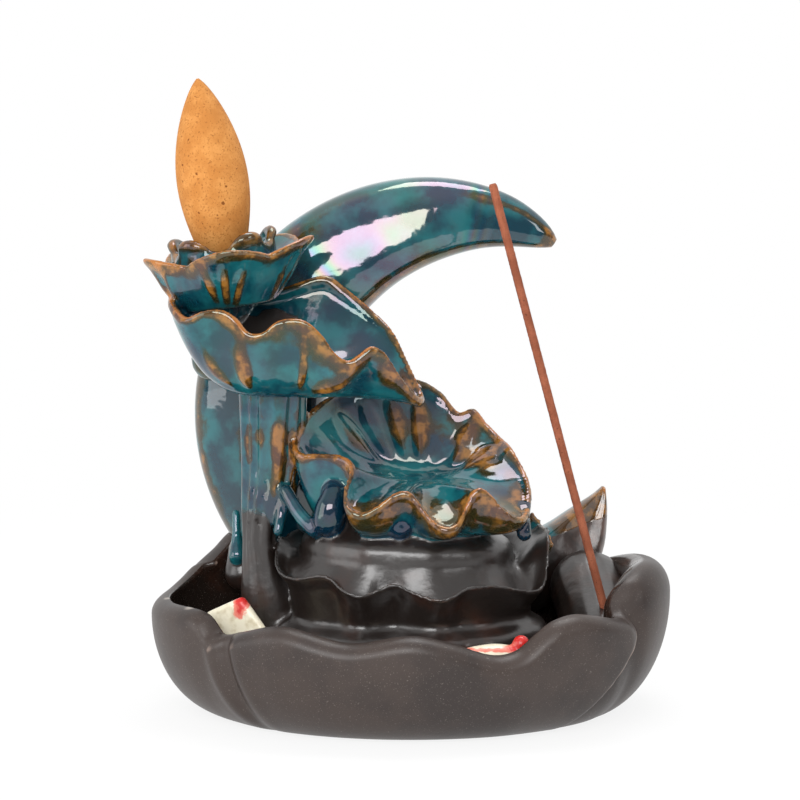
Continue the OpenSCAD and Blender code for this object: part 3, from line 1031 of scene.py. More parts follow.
# Each row: direction, reach, height of the lip over its usual level.
MID_LEDGE = LobeTable([
    [0, 29.4, 7], [40, 24, 5], [90, 20, 5], [140, 24, 5], [180, 25, 5], [195, 27.4, 4],
    [202.5, 28.7, 2], [209, 29, 0.3], [221, 28.8, 0], [231, 28.2, 1.1], [237, 27.8, 0.9],
    [244.5, 28.6, -1.2], [251, 28, -2.1], [257, 26, -1.4], [265, 25.1, -0.1], [273, 26.6, -1.3],
    [283, 28.5, -2.7], [290, 28.6, -2.1], [297, 27.8, -0.9], [308, 28.9, -0.8], [322, 29.4, -2.5],
    [332, 30.2, -3.4], [337, 30.8, -2.6], [341, 30.8, 0], [345, 30.6, 4], [351, 30, 6.4],
])


@dataclass
class Ledges:
    """The stepped mound with its low shelf, scalloped ledge and top ledge."""

    middle: Spot = (-1, 3, 0)
    low: float = 7.5
    mid: float = 18.5
    top: float = 24.5
    round_reach: float = 20.7
    scallop: float = 0.25
    points: int = 180

    def build(self) -> Piece:
        """Models the mound.

        Returns:
            The mound, for joining.
        """
        a = turns(self.points)
        reach = MID_LEDGE.at(a, 1)
        inner = np.minimum(self.round_reach + self.scallop * reach, reach + 1.8)
        lip = BASIN + self.mid + MID_LEDGE.at(a, 2)
        crown = BASIN + self.top + 1.2 * np.sin(np.radians(a - 130))
        shelf = BASIN + self.low
        rings = [polar(a, reach + r, shelf + z) for r, z in (
            (-0.4, -10), (-0.4, -6), (-0.5, -3.6), (-1, -1.2), (-2.4, -0.1), (-3.6, 0.6), (-4.2, 2.2),
        )]
        rings += [polar(a, reach + r, lip + z) for r, z in (
            (-2.8, -4), (-1.3, -2), (-0.15, -0.6), (-0.4, 0), (-0.9, -0.25), (-2, -1.3), (-3.2, -2),
        )]
        rings += [polar(a, inner + r, crown + z) for r, z in (
            (-5.7, -5), (-5.9, -3.2), (-6.3, -1.4), (-7.5, -0.2), (-9, 0.6), (-11, 2.4), (-15, 8),
        )]
        return loft("ledges", [ring + np.array(self.middle) for ring in between(rings, 3)])


@dataclass
class Root:
    """Dark clay under the pillar, the swelling at its left and the ramp at the right."""

    under_pillar: Path = ((-28, 2, 11), (-28, 3, 26.5))
    swelling: Path = ((-35, 11.4, 30.5), (-34.6, 10.8, 25.6))
    ramp: Path = ((38.9, -8.4, 13.8), (38.5, 3, 17.8), (37, 12.4, 22))

    def build(self) -> list[Piece]:
        """Models the three runs of clay.

        Returns:
            The runs, for joining.
        """
        return [
            capsule("under_pillar", self.under_pillar, (8, 5.4)),
            capsule("swelling", self.swelling, (2.6, 3.9)),
            capsule("ramp", self.ramp, (7.6, 8, 8)),
        ]


# Each row: direction from the moon's middle, loss of outer radius, inner radius, share of the thickness.
MOON_EDGE = LobeTable([
    [54, 4.5, 42.8, 0.14], [57, 3.4, 41.4, 0.26], [62, 2.2, 39.6, 0.38], [70, 1, 37.2, 0.5],
    [85, 0.2, 32.8, 0.72], [100, 0, 29.3, 0.86], [120, 0, 25.8, 0.96], [150, 0, 23, 1],
    [185, 0, 21.8, 1], [220, 0.2, 22.6, 1], [255, 0.6, 25.2, 0.98], [285, 1.8, 28.5, 0.9],
    [305, 2, 32, 0.76], [317, 1.9, 34.2, 0.62], [323, 3.6, 35.2, 0.54], [328, 5.8, 36.4, 0.45],
    [332, 7.4, 37.8, 0.34], [335, 8.8, 38.8, 0.24], [337, 9.5, 39.2, 0.15],
])


@dataclass
class Moon:
    """The crescent moon: a rounded square section swept from the upper tip to the horn."""

    radius: float = 49.6
    thickness: float = 21
    middle: Spot = (4.5, 22.5, 57.4)
    start: float = 54
    sweep: float = 283
    fullness: float = 0.72
    facet: float = 0.55
    lean: float = 0.2
    stations: int = 160
    points: int = 72

    def section(self, way: float) -> Ring:
        """One section across the crescent.

        Args:
            way: direction from the moon's middle, in degrees.

        Returns:
            The ring there.
        """
        here = np.array([way])
        outer = self.radius - MOON_EDGE.at(here, 1)[0]
        inner = MOON_EDGE.at(here, 2)[0]
        deep = self.thickness / 2 * MOON_EDGE.at(here, 3)[0]
        round_ = np.radians(turns(self.points))
        full = self.fullness + (1 - self.fullness) * ease(here, 320, 331)[0]
        across, up = (np.sign(v) * np.abs(v) ** full for v in (np.cos(round_), np.sin(round_)))
        hollow = self.facet * ease(here, 312, 324)[0] * np.clip(1 - (across / 0.8) ** 2, 0, 1)
        up = np.where(up < 0, up * (1 - hollow) * (1 - self.lean * across), up)
        reach = (outer + inner) / 2 + (outer - inner) / 2 * across
        turn = math.radians(way)
        ring = np.stack([reach * math.cos(turn), deep * up, reach * math.sin(turn)], axis=1)
        return ring + np.array(self.middle)

    def build(self, material: Finish) -> None:
        """Models and paints the crescent.

        Args:
            material: the reactive glaze.
        """
        ways = self.start + self.sweep * np.linspace(0, 1, self.stations)
        moon = loft("moon", [self.section(w) for w in ways])
        apply(moon, "SMOOTH", factor=0.5, iterations=4)
        skin = Skin(moon)
        order = np.arange(skin.count)
        way = ways[np.minimum(order // self.points, self.stations - 1)]
        side = (order % self.points) * 360 / self.points
        x, _, z = skin.place.T
        wide = 1 + 0.5 * skin.cloud(9)
        front = ease(away(side, 270), -60, -40) * ease(away(side, 270), 60, 40)
        edge = 0.36 * ease(way, 142, 120) * bell(away(side, 215), 20 * wide)
        edge += 0.42 * bell(away(side, 303), 15 * wide) * ease(way, 90, 76)
        edge += 0.34 * bell(away(side, 316), 26 * wide) * bell(way - 130, 14)
        edge += 0.42 * bell(away(side, 336), 15 * wide) * bell(way - 190, 28)
        edge += 0.42 * bell(x + 34, 1.3 * wide) * front * ease(z, 46, 50) * ease(z, 68, 62)
        edge += 0.4 * ease(way, 60.5, 56) + 0.5 * ease(way, 314, 320) * (side > 180)
        worn = np.clip(0.6 * skin.spread(skin.bend(), 3), 0, 0.5)
        skin.paint("edge", edge + worn * ease(way, 300, 320))
        skin.paint("pool", 0)
        skin.paint("film", ease(way, 70, 82) * ease(way, 140, 120))
        level = 23.2 + 0.3 * x
        skin.paint("dark", np.where(x > 20, ease(z, level + 1.5, level - 1.5), ease(z, 30, 24)))
        settle(moon, material, Slot.CLAY, BODY_NODE)


@dataclass(frozen=True)
class Rib:
    """A raised vein on a leaf, a lens in plan that fades at both ends.

    It points along way and runs from near to far, as shares of the leaf's reach, and turns by lean on
    the way. Its width is half of it at its middle; all three angles are in degrees. It is height
    millimetres high, and gild is how much gold it shows.
    """

    way: float
    near: float
    far: float
    width: float
    height: float
    lean: float
    gild: float

    def rise(self, angle: np.ndarray, share: np.ndarray | float) -> np.ndarray:
        """Height that the vein adds.

        Args:
            angle: directions in degrees.
            share: share of the leaf's reach.

        Returns:
            Millimetres.
        """
        along = np.clip((share - self.near) / (self.far - self.near), 0, 1)
        lens = np.sin(math.pi * along) ** 1.1
        side = away(angle, self.way + self.lean * (along - 0.5))
        return self.height * lens * np.exp(-(np.abs(side / (self.width * (0.15 + 0.85 * lens))) ** 3))


@dataclass
class Leaf:
    """A ruffled leaf: a thin bowl with raised veins."""

    name: str
    rim: LobeTable
    middle: Spot
    rim_z: float
    under: float
    inside: float
    veins: tuple[Rib, ...] = ()
    outer_veins: tuple[Rib, ...] = ()
    fall: float = 4
    band: float = 2.8
    thickness: float = 2.2
    points: int = 240

    def build(self) -> Piece:
        """Models the leaf.

        Returns:
            The leaf, for joining.
        """
        a = turns(self.points)
        reach = self.rim.at(a, 1)
        edge = self.rim_z + self.rim.at(a, 2)
        rings = []
        for f in 0.12 + 0.86 * np.sin(np.linspace(0, math.pi / 2, 26)):
            out = sum((v.rise(a, f) for v in self.outer_veins), np.zeros_like(a))
            height = self.under + (edge - self.thickness - self.under) * f**self.fall
            rings.append(polar(a, reach * f + out, height - 0.4 * out))
        rings += between([polar(a, reach + r, edge + z) for r, z in (
            (-0.1, -self.thickness), (0.45, -1.3), (0.45, -0.5), (0.05, 0), (-0.7, -0.1), (-1.3, -0.7),
        )], 3)
        for f in np.linspace(0.92, 0.08, 26):
            up = sum((v.rise(a, f) for v in self.veins), np.zeros_like(a))
            height = self.inside + (edge - self.inside) * f**2.2 - 0.5
            rings.append(polar(a, reach * f - 0.4 * up, height + up))
        return loft(self.name, [ring + np.array(self.middle) for ring in rings])

    def rim_line(self) -> np.ndarray:
        """Points along the rim."""
        a = turns(self.points)
        return polar(a, self.rim.at(a, 1), self.rim_z + self.rim.at(a, 2)) + np.array(self.middle)

    def outside(self, skin: Skin) -> np.ndarray:
        """One where a point faces outwards or down, zero where it faces into the leaf."""
        return ease(skin.outwards(self.middle), -0.15, 0.4)

    def spill(self, skin: Skin) -> np.ndarray:
        """How much wider the gold is on the outside, in millimetres, but not beside the pillar."""
        return self.band * self.outside(skin) * (1 - 0.85 * bell(away(skin.way(self.middle), 200), 22))

    def veined(self, skin: Skin) -> np.ndarray:
        """Finds the raised veins.

        Args:
            skin: the finished mesh.

        Returns:
            How far each point lies on a vein, times the gold that the vein shows.
        """
        flat = skin.place - np.array(self.middle)
        angle = skin.way(self.middle)
        share = np.hypot(flat[:, 0], flat[:, 1]) / self.rim.at(angle, 1)
        low = flat[:, 2] > self.under - 1
        shown = low * (flat[:, 2] < self.rim_z + self.rim.at(angle, 2) + 1.5) * (share < 1.05)
        outer = self.outside(skin)
        mask = self.gold(self.veins, angle, share) * (1 - outer)
        mask += self.gold(self.outer_veins, angle, share) * outer
        return np.clip(mask, 0, 0.6) * shown

    def gold(self, veins: Sequence[Rib], angle: np.ndarray, share: np.ndarray) -> np.ndarray:
        """Gold that some veins show at each point."""
        return sum((v.gild * v.rise(angle, share) / v.height for v in veins), np.zeros_like(angle))


# Each row: direction, reach, height over the leaf's level.
LOWER_RIM = LobeTable([
    [5, 21.5, 1.5], [18, 20, 5.6], [35, 20.6, 7.4], [47, 20.2, 10.2], [56, 20.4, 12.8],
    [64, 18.8, 12], [76, 19, 16], [90, 18.2, 18.6], [114, 19.5, 19], [139, 21, 17],
    [168, 23, 13.5], [184, 25.4, 9], [189, 25.6, 7.6], [194, 24.6, 6.6], [200, 21.4, 6.7],
    [208, 18.4, 6.6], [219, 17.6, 4.6], [224, 20.8, 0.6], [229.5, 22.2, -2.4], [238, 21.4, -3.5],
    [246, 19.8, -1.8], [254, 18.2, 0.3], [262, 17.4, 0.6], [267, 17.6, -0.6], [275.5, 19, -4.2],
    [283, 20.8, -6], [291, 20.6, -5.4], [298, 19.2, -2.4], [302, 19.4, 0.2], [307, 20, 1.1],
    [313, 21.4, -0.8], [318, 23.2, -3.8], [327, 23.8, -5.2], [338, 23.2, -4.2], [350, 22.4, -1.6],
])
UPPER_RIM = LobeTable([
    [0, 26.4, 0.6], [8, 24, 6], [16, 21.8, 11.8], [28, 19.2, 16], [45, 15.4, 21],
    [58, 13.6, 23.4], [84, 11.8, 22], [116, 13.4, 20], [145, 19.4, 20], [170, 23.8, 20.4],
    [190, 23.8, 18.8], [203, 22.2, 16.8], [212, 20, 18.2], [221, 17.6, 18.5], [229, 15.8, 16.8],
    [236, 14.6, 14.2], [246, 13.2, 14], [258, 11.9, 16.1], [274, 12, 16.8], [288, 12.6, 16.1],
    [300, 14, 13.2], [307, 15.4, 10], [314.5, 17, 8.5], [320, 18.4, 9.6], [325.5, 19.9, 11.2],
    [332, 21.4, 10], [341, 23.4, 4.8], [350, 25.6, 0.8],
])


@dataclass
class Lotus:
    """The lotus flower with its neck: five outer petals, five curled inner ones, the cup."""

    middle: Spot = (-36.5, 3, 84)
    radius: float = 18
    grow: float = 3.6
    sway: float = 1.4
    cup: float = 9
    lean: float = 8
    petals: int = 5
    front: float = 270
    rib: float = 0.7
    points: int = 240

    def placed(self, ring: Ring) -> Ring:
        """Leans points to the left and moves them to the flower's place."""
        return leaned(ring, self.lean) + np.array(self.middle)

    def lobe(self, angle: np.ndarray, turned: float) -> np.ndarray:
        """Petal outline.

        Args:
            angle: directions in degrees.
            turned: turn of the ring of petals, in degrees.

        Returns:
            One at a petal's middle and zero between two petals.
        """
        part = 360 / self.petals
        off = np.abs(np.mod(angle - self.front - turned + part / 2, part) - part / 2) / (part / 2)
        return 1 - off**1.5

    def grooves(self, angle: np.ndarray, share: np.ndarray | float) -> np.ndarray:
        """Raised veins on the outer petals, three on each, that spread towards the rim.

        Args:
            angle: directions in degrees.
            share: share of the way up the petal.

        Returns:
            One on a vein and zero beside it.
        """
        part = 360 / self.petals
        off = np.mod(angle - self.front + part / 2, part) - part / 2
        lens = np.sin(math.pi * np.clip((share - 0.08) / 0.74, 0, 1)) ** 0.7
        spread = 9 + 10 * share
        return lens * sum(np.exp(-(((off - k * spread) / 4.2) ** 4)) for k in (-1, 0, 1))

    def rings(self) -> list[Ring]:
        """Lays out the flower, not yet leaned.

        Returns:
            Rings from under the cup, over the petals' rim, to the floor of the cup.
        """
        a = turns(self.points)
        outer, inner = self.lobe(a, 0), self.lobe(a, 180 / self.petals)
        tip, grow = self.radius - self.grow, self.grow
        # Reach, its share of the outer and of the inner petals, then height and the same shares of it.
        profile = [
            (9.5, 0, 0, -2, 0, 0), (11.8, 0.4, 0, 2, 0, 0), (13.2, 1.4, 0, 5.2, 0.4, 0),
            (tip, grow, 0, 7.2, 2.1, 0), (tip - 0.8, grow - 0.2, 0, 7.8, 2.2, 0),
            (12, 1.6, 0, 6.6, 0.7, 0), (10.8, 0, 0.2, 6.6, 0, 0), (10.2, 0, 0.7, 8, 0, 0.3),
            (9.8, 0, 1, 9.2, 0, 0.8), (9, 0, 0.8, 9.6, 0, 0.8), (8.2, 0, 0.3, 9.4, 0, 0.3),
        ]
        rows = []
        for p in profile:
            row = polar(a, p[0] + p[1] * outer + p[2] * inner, p[3] + p[4] * outer + p[5] * inner)
            rows.append(row + np.array([self.sway * p[1] / grow, 0, 0]))
        rows += [polar(a, np.full_like(a, r), self.cup + z) for r, z in ((7, 0.3), (6.2, 0))]
        filled = between(rows, 6)
        veined = 18
        for count in range(veined):
            out = self.rib * self.grooves(a, count / veined)
            filled[count] = filled[count] + polar(a, out, -0.3 * out)
        return filled

    def build(self) -> list[Piece]:
        """Models the flower, its curled inner petals and its neck.

        Returns:
            The parts, for joining.
        """
        flower = loft("flower", [self.placed(ring) for ring in self.rings()])
        curls = []
        for count in range(self.petals):
            middle = self.front + (count + 0.5) * 360 / self.petals
            path = []
            for step in (-22, -8, 8, 22):
                turn, rise = math.radians(middle + step), 1 - (step / 24) ** 2
                reach = 9.2 + 1.2 * rise
                path.append([reach * math.cos(turn), reach * math.sin(turn), self.cup + 0.3 + 2.2 * rise])
            curls.append(capsule(f"curl_{count}", self.placed(np.array(path)), [0.7, 1.15, 1.15, 0.7]))
        x, y, z = self.middle
        neck = [
            capsule("neck", [(x - 4.6, y, z - 8), (x - 3, y + 1, z + 1)], [4, 6.5]),
            capsule("neck_back", [(x - 4, y + 8, z - 14), (x, y + 7, z)], [4.5, 5]),
        ]
        return [flower, *curls, *neck]

    def rim_line(self) -> np.ndarray:
        """Follows the outer petals' rim and the curls.

        Returns:
            Points along them.
        """
        a = turns(self.points)
        outer, inner = self.lobe(a, 0), self.lobe(a, 180 / self.petals)
        rim = polar(a, self.radius - self.grow - 0.3 + self.grow * outer, 7.8 + 2.2 * outer)
        rim[:, 0] += self.sway
        curls = polar(a, 9.8 + 0.8 * inner, self.cup + 1.6 + 2.4 * inner)
        return np.vstack([self.placed(rim), self.placed(curls)])

    def outside(self, skin: Skin) -> np.ndarray:
        """One where a point faces outwards, zero where it faces into the flower."""
        return ease(skin.outwards(self.middle), -0.1, 0.5)

    def spill(self, skin: Skin) -> np.ndarray:
        """How much wider the gold is on the outside, in millimetres."""
        return 2 * self.outside(skin)

    def veined(self, skin: Skin) -> np.ndarray:
        """Finds the petals' raised veins.

        Args:
            skin: the finished mesh.

        Returns:
            How much gold each point shows.
        """
        flat = skin.place - np.array(self.middle)
        height = leaned(flat, self.lean)[:, 2]
        mask = self.grooves(skin.way(self.middle), np.clip((height + 2) / 11, 0, 1)) * self.outside(skin)
        return 0.36 * np.clip(mask, 0, 1) * (np.hypot(flat[:, 0], flat[:, 1]) > 9)


PILLAR_FLUTES = LobeTable([
    [0, 0.2], [60, 0.4], [120, 0], [180, 0.2], [207, 0.5], [219, -0.5], [228, 0.4], [237, -0.6],
    [250, 0.5], [262, -0.4], [272, 0.4], [284, 0.7], [294, 0.4], [304, -0.7], [315, 0.5],
    [330, -0.4], [345, 0.2],
])


@dataclass
class Pillar:
    """The pillar of falling water: flutes, some of them gold, that run down into the basin."""

    top: float = 67
    middle: float = 1.5
    points: int = 160

    def build(self) -> Piece:
        """Models the pillar.

        Returns:
            The pillar, for joining.
        """
        a = turns(self.points)
        # Height, sideways place and the two half sizes.
        stations = [
            (BASIN - 2, -27.6, 7.2, 6.6), (22, -28.4, 6.2, 6), (29, -29.6, 4.6, 5.2), (35, -30.2, 3.6, 4.8),
            (42, -29, 5, 5.2), (50, -27.8, 6.2, 5.5), (self.top, -27.8, 6.8, 7),
        ]
        rings = []
        for height, x, half_x, half_y in np.vstack(between([np.array([s]) for s in stations], 10)):
            twisted = PILLAR_FLUTES.at(a + 3 * math.sin(height / 6), 1)
            reach = oval(a, half_x, half_y) + twisted * ease(np.array([height]), 22, 40)[0]
            rings.append(polar(a, reach, height) + np.array([x, self.middle, 0]))
        return loft("pillar", rings)

    def gilded(self, skin: Skin) -> np.ndarray:
        """Gold in four strips on the front, which taper downwards.

        Args:
            skin: the finished mesh.

        Returns:
            How much gold each point shows.
        """
        x, y, z = skin.place.T
        wander = x + 0.5 * skin.cloud(5, 3)
        strips = 0.5 * bell(wander + 26.6, 0.5 + ease(z, 35, 50)) * ease(z, 34, 38) * ease(z, 60, 57)
        strips += 0.42 * bell(wander + 30.4, 0.8) * bell(z - 56.2, 1.6)
        strips += 0.4 * bell(wander + 32.6, 0.55) * ease(z, 48, 51) * ease(z, 60, 57)
        strips += 0.45 * bell(wander + 23.6, 0.6) * ease(z, 40, 43) * ease(z, 54, 50)
        close = ease(np.hypot(y - self.middle, x + 28), 9, 7.6)
        return strips * close * (y < self.middle)

    def bare(self, skin: Skin) -> np.ndarray:
        """Finds the pillar's foot, where the bright glaze ends.

        Args:
            skin: the finished mesh.

        Returns:
            One on the foot.
        """
        x, _, z = skin.place.T
        level = 40 - 6 * ease(x, -29.5, -26)
        return ease(z, level + 8, level - 7) * (x < -20) * (x > -34.5)


@dataclass
class Drips:
    """Thick glaze that has run over the dark clay and stopped there as rounded drops."""

    drops: tuple[Path, ...] = (
        ((-15.2, -9.4, 45), (-15.8, -10.2, 42.4), (-16.3, -10.4, 39.8)),
        ((-2, -14.2, 42), (-2, -15, 39.2)),
        ((22.8, -8, 42), (22.9, -8.8, 37)),
    )
    drop_radii: tuple[tuple[float, ...], ...] = ((2.6, 3.2, 3.1), (1.6, 2.2), (1.1, 1.6))
    webs: tuple[Path, ...] = (
        ((-25, -4.4, 45), (-22.4, -7, 41), (-19.2, -9.4, 37.8)),
        ((-25.4, -3.4, 43), (-26.6, -5.2, 36.8)),
        ((-35.9, 11, 38), (-35.8, 9.6, 33), (-35.6, 8.4, 29.6)),
    )
    web_radii: tuple[tuple[float, ...], ...] = ((1.4, 1.5, 1.6), (1.5, 1), (0.9, 1.1, 1.9))

    def build(self) -> list[list[Piece]]:
        """Models the runs of glaze.

        Returns:
            The deep drops, then the teal webs, for joining.
        """
        kinds = (("drop", self.drops, self.drop_radii), ("web", self.webs, self.web_radii))
        return [
            [capsule(f"{name}_{n}", *run) for n, run in enumerate(zip(paths, radii))]
            for name, paths, radii in kinds
        ]


@dataclass
class SidePetal:
    """The small curled petal between the lower leaf and the horn."""

    foot: Spot = (24, 6.6, 27)
    rim: Path = (
        (25.2, 8.4, 38), (26.4, 7.8, 36.8), (27.6, 7.2, 35.2), (28.5, 6.6, 33.6), (29, 6, 32.2),
    )

    def build(self) -> list[Piece]:
        """Models the petal as a fan of runs from its foot to its rim."""
        return [capsule(f"side_petal_{n}", (self.foot, spot), (3, 0.7)) for n, spot in enumerate(self.rim)]

    def rim_line(self) -> np.ndarray:
        """Points along the petal's rim."""
        return np.vstack(between([np.array([spot]) for spot in self.rim], 4)) + np.array([0.3, -0.3, 0.3])

    def spill(self, skin: Skin) -> np.ndarray:
        """Less than zero, because the petal's gold is a thin line."""
        return np.full(skin.count, -0.8)

    def veined(self, skin: Skin) -> np.ndarray:
        """Zero, because the petal has no raised veins."""
        return np.zeros(skin.count)


@dataclass
class Cone:
    """The pressed incense cone, a bullet with a hole up its base."""

    flower: Lotus
    diameter: float = 14.5
    length: float = 35
    base: float = 9.6
    bore: float = 3
    bore_depth: float = 16
    shoulder: float = 0.4
    points: int = 120

    def outline(self) -> list[tuple[float, float]]:
        """Draws the cone's half section.

        Returns:
            Reach and height from the hole's end, round the base and up to the tip.
        """
        r, base, quarter = self.diameter / 2, self.base / 2, math.pi / 2
        spots = [(self.bore / 2, self.bore_depth), (self.bore / 2, 0), (base - 0.4, 0)]
        for s in np.linspace(0.02, 1, 24):
            spots.append((base + (r - base) * math.sin(quarter * s), self.length * self.shoulder * s))
        for s in np.linspace(0, 1, 40)[1:-1]:
            height = self.length * (self.shoulder + (1 - self.shoulder) * s)
            spots.append((r * math.cos(quarter * s) ** 0.72, height))
        return spots + [(0.25, self.length - 0.05)]

    def build(self, material: Finish) -> None:
        """Models the cone on the floor of the flower's cup.

        Args:
            material: the pressed powder.
        """
        a = turns(self.points)
        rings = [polar(a, np.full_like(a, reach), self.flower.cup + up) for reach, up in self.outline()]
        cone = loft("incense_cone_pressed", [self.flower.placed(ring) for ring in rings])
        settle(cone, material, Slot.CONE, "incense_cone")


@dataclass
class Stick:
    """The incense stick in its hole."""

    place: Spot = (39.3, -8, 21)
    lean: float = 15
    diameter: float = 1.75
    length: float = 95
    hole: float = 6
    points: int = 24

    def build(self, material: Finish) -> None:
        """Models the stick, rough all over.

        Args:
            material: the stick's powder.
        """
        a = turns(self.points)
        draw = np.random.default_rng(4)
        rings = []
        for height in np.linspace(0, self.length, 240):
            edge = min(height, self.length - height)
            reach = self.diameter / 2 - 0.25 * math.exp(-edge / 0.15) - draw.uniform(0, 0.06, a.shape)
            rings.append(leaned(polar(a, reach, height - self.hole), self.lean) + np.array(self.place))
        stick = loft("incense_stick_rolled", rings)
        settle(stick, material, Slot.STICK, "incense_stick")


@dataclass
class Koi:
    """The two small koi in the basin."""

    floor: float = BASIN

    def left(self, material: Finish) -> None:
        """Models the left koi, which spreads its side fins and lifts its head.

        Args:
            material: the paint.
        """
        z = self.floor
        balls = (
            ((-33.5, -14.6, z + 13), 1.2), ((-39.8, -13.6, z + 10.4), 0.8), ((-29.2, -16.8, z + 8), 0.8),
            ((-36, -12.6, z + 3.1), 3), ((-31, -15, z + 3.1), 3),
        )
        parts = [
            hull("koi_head", balls),
            capsule("koi_body", [(-30, -15.8, z + 3.1), (-24.4, -20.4, z + 2.5)], [3, 2.2]),
            capsule("koi_tail", [(-24.4, -20.4, z + 2.5), (-20.6, -24.4, z + 8.4)], [2, 0.8]),
        ]
        koi = fuse("koi_left_painted", parts, KOI_GRAIN, KOI_ROUNDS)
        skin = Skin(koi)
        head = skin.glow([(-33.4, -15.4, z + 14)], 2.1)
        streak = 0.5 * skin.glow([(-34, -16.2, z + 11)], 1.5)
        tail = skin.glow([(-20.4, -24.6, z + 8)], 3)
        skin.paint("mark", head + streak + tail)
        settle(koi, material, Slot.KOI, "koi_left")

    def right(self, material: Finish) -> None:
        """Models the right koi, which lies along the front wall.

        Args:
            material: the paint.
        """
        z = self.floor
        back = [(4.4, -29.4, z + 3.4), (10, -28.6, z + 4.1), (16, -27.8, z + 4.6), (20.2, -27.3, z + 4.4)]
        parts = [
            capsule("koi_back", back, [0.9, 2.4, 2.9, 2.6]),
            capsule("koi_tail_up", [(4.4, -29.4, z + 3.4), (0.8, -28.2, z + 5.2)], [1, 0.8]),
            capsule("koi_fin", [(21, -27.2, z + 6), (21.6, -27.2, z + 7.4)], [1.7, 1.7]),
        ]
        koi = fuse("koi_right_painted", parts, KOI_GRAIN, KOI_ROUNDS)
        skin = Skin(koi)
        fin = skin.glow([(21.6, -27.6, z + 7.8)], 2.4)
        x, _, height = skin.place.T
        stripe = 0.5 * bell(height - z - 6.6, 0.55) * ease(x, 1, 6)
        spot = 0.9 * skin.glow([(10.6, -31, z + 5.4)], 1.1)
        skin.paint("mark", fin + stripe + spot)
        settle(koi, material, Slot.KOI, "koi_right")


LOWER_VEINS = tuple(Rib(*row) for row in (
    (8, 0.42, 0.98, 9.5, 0.7, 3, 0.24), (29, 0.42, 1, 9.5, 0.9, 8, 0.52), (49, 0.42, 1, 9.5, 0.9, 8, 0.48),
    (69, 0.4, 1, 9.5, 0.9, 4, 0.1), (89, 0.4, 0.98, 9, 0.9, 0, 0.46), (109, 0.4, 0.98, 9, 0.9, 0, 0.4),
    (129, 0.42, 0.97, 9, 0.8, 0, 0.1), (150, 0.44, 0.94, 8.5, 0.7, 0, 0.3),
))
UPPER_VEINS = tuple(Rib(*row) for row in (
    (210, 0.6, 0.98, 4, 0.8, -4, 0.44), (228, 0.56, 1.08, 6.5, 0.9, 12, 0.44),
    (285, 0.62, 1.04, 4.4, 0.8, 0, 0.44), (308, 0.58, 1.06, 10, 0.9, 12, 0.42),
))


def build_top(glaze: Finish) -> None:
    """Models the upper leaf and the flower, and joins them.

    Args:
        glaze: the reactive glaze.
    """
    leaf = Leaf("upper_leaf", UPPER_RIM, (-24, -2, 0), 64, 64, 71, outer_veins=UPPER_VEINS)
    flower = Lotus()
    upper = fuse("flower_and_leaf", [leaf.build(), *flower.build()], FLOWER_GRAIN, GLAZE_ROUNDS)
    skin = Skin(upper)
    # Painted shade: the leaf's inside under the flower's cup is painted brown and, deepest, dark clay,
    # where shade falls under the cup.
    painted_shade_under_cup = ease(skin.gap(np.array([(-28, 8, 77), (-25, 9, 76), (-32, 6, 76)])), 6.4, 1.6)
    painted_shade_under_cup *= 1 - leaf.outside(skin)
    skin.paint("edge", glaze_edges(skin, [leaf, flower]) + 0.2 * painted_shade_under_cup)
    skin.paint("dark", painted_shade_under_cup * ease(skin.place[:, 2], 84, 80))
    skin.paint("pool", 0)
    skin.paint("film", 1)
    settle(upper, glaze, Slot.CLAY, BODY_NODE)


def build_steps(glaze: Finish) -> None:
    """Models the lower leaf, the pillar, the drips and the ledges, and joins them.

    Args:
        glaze: the reactive glaze.
    """
    leaf = Leaf("lower_leaf", LOWER_RIM, (2, -1, 0), 46.5, 37, 47.5, LOWER_VEINS, fall=9, band=6)
    pillar, petal = Pillar(), SidePetal()
    drops, webs = Drips().build()
    bright = [leaf.build(), pillar.build(), *petal.build(), *drops, *webs]
    sombre = [Ledges().build(), *Root().build()]
    trees = [tree_of(parts) for parts in (bright, sombre, drops, webs)]
    steps = fuse("leaf_and_ledges", bright + sombre, STEPS_GRAIN, GLAZE_ROUNDS)
    skin = Skin(steps)
    to_bright, to_sombre, to_drops, to_webs = (skin.near(tree) for tree in trees)
    deep = ease(to_drops, 0.9, 0.4)
    covered = np.maximum(deep, ease(to_webs, 0.9, 0.4))
    edge = glaze_edges(skin, [leaf, petal]) + pillar.gilded(skin)
    edge += 0.22 * skin.glow([(17, 8, 53), (12, 13, 57)], 7) * (1 - leaf.outside(skin))
    skin.paint("edge", edge * (1 - covered))
    skin.paint("pool", deep)
    nearer = 0.5 + (to_bright - to_sombre) / 1.2
    skin.paint("dark", np.clip(np.maximum(nearer, pillar.bare(skin) * (1 - covered)), 0, 1))
    skin.paint("film", 1)
    settle(steps, glaze, Slot.CLAY, BODY_NODE)


def build_floor() -> None:
    """Makes the white floor, which keeps a soft shadow."""
    deselect()
    bpy.ops.mesh.primitive_plane_add(size=6, location=(0, 0, -0.0002))
    floor = bpy.context.object
    floor.name = "floor"
    r = Recipe("pale_floor")
    plain = r.node("BsdfDiffuse", Color=(0.9, 0.9, 0.9, 1))
    bright = r.node("Emission", Color=(1, 1, 1, 1), Strength=1.0)
    path = r.node("LightPath").outputs
    seen = r.math("ADD", path["Is Camera Ray"], path["Is Glossy Ray"])
    seen = r.math("MINIMUM", r.math("ADD", seen, path["Is Transmission Ray"]), 1.0)
    reach = r.node("VectorMath", r.place)
    reach.operation = "LENGTH"
    pale = r.math("MULTIPLY_ADD", r.span(reach.outputs["Value"], 0.05, 0.3), 0.14, 0.86)
    blend = r.node("MixShader", r.math("MULTIPLY", seen, pale), plain.outputs[0], bright.outputs[0])
    r.fill(r.output.inputs["Surface"], blend.outputs[0])
    floor.data.materials.append(r.material)


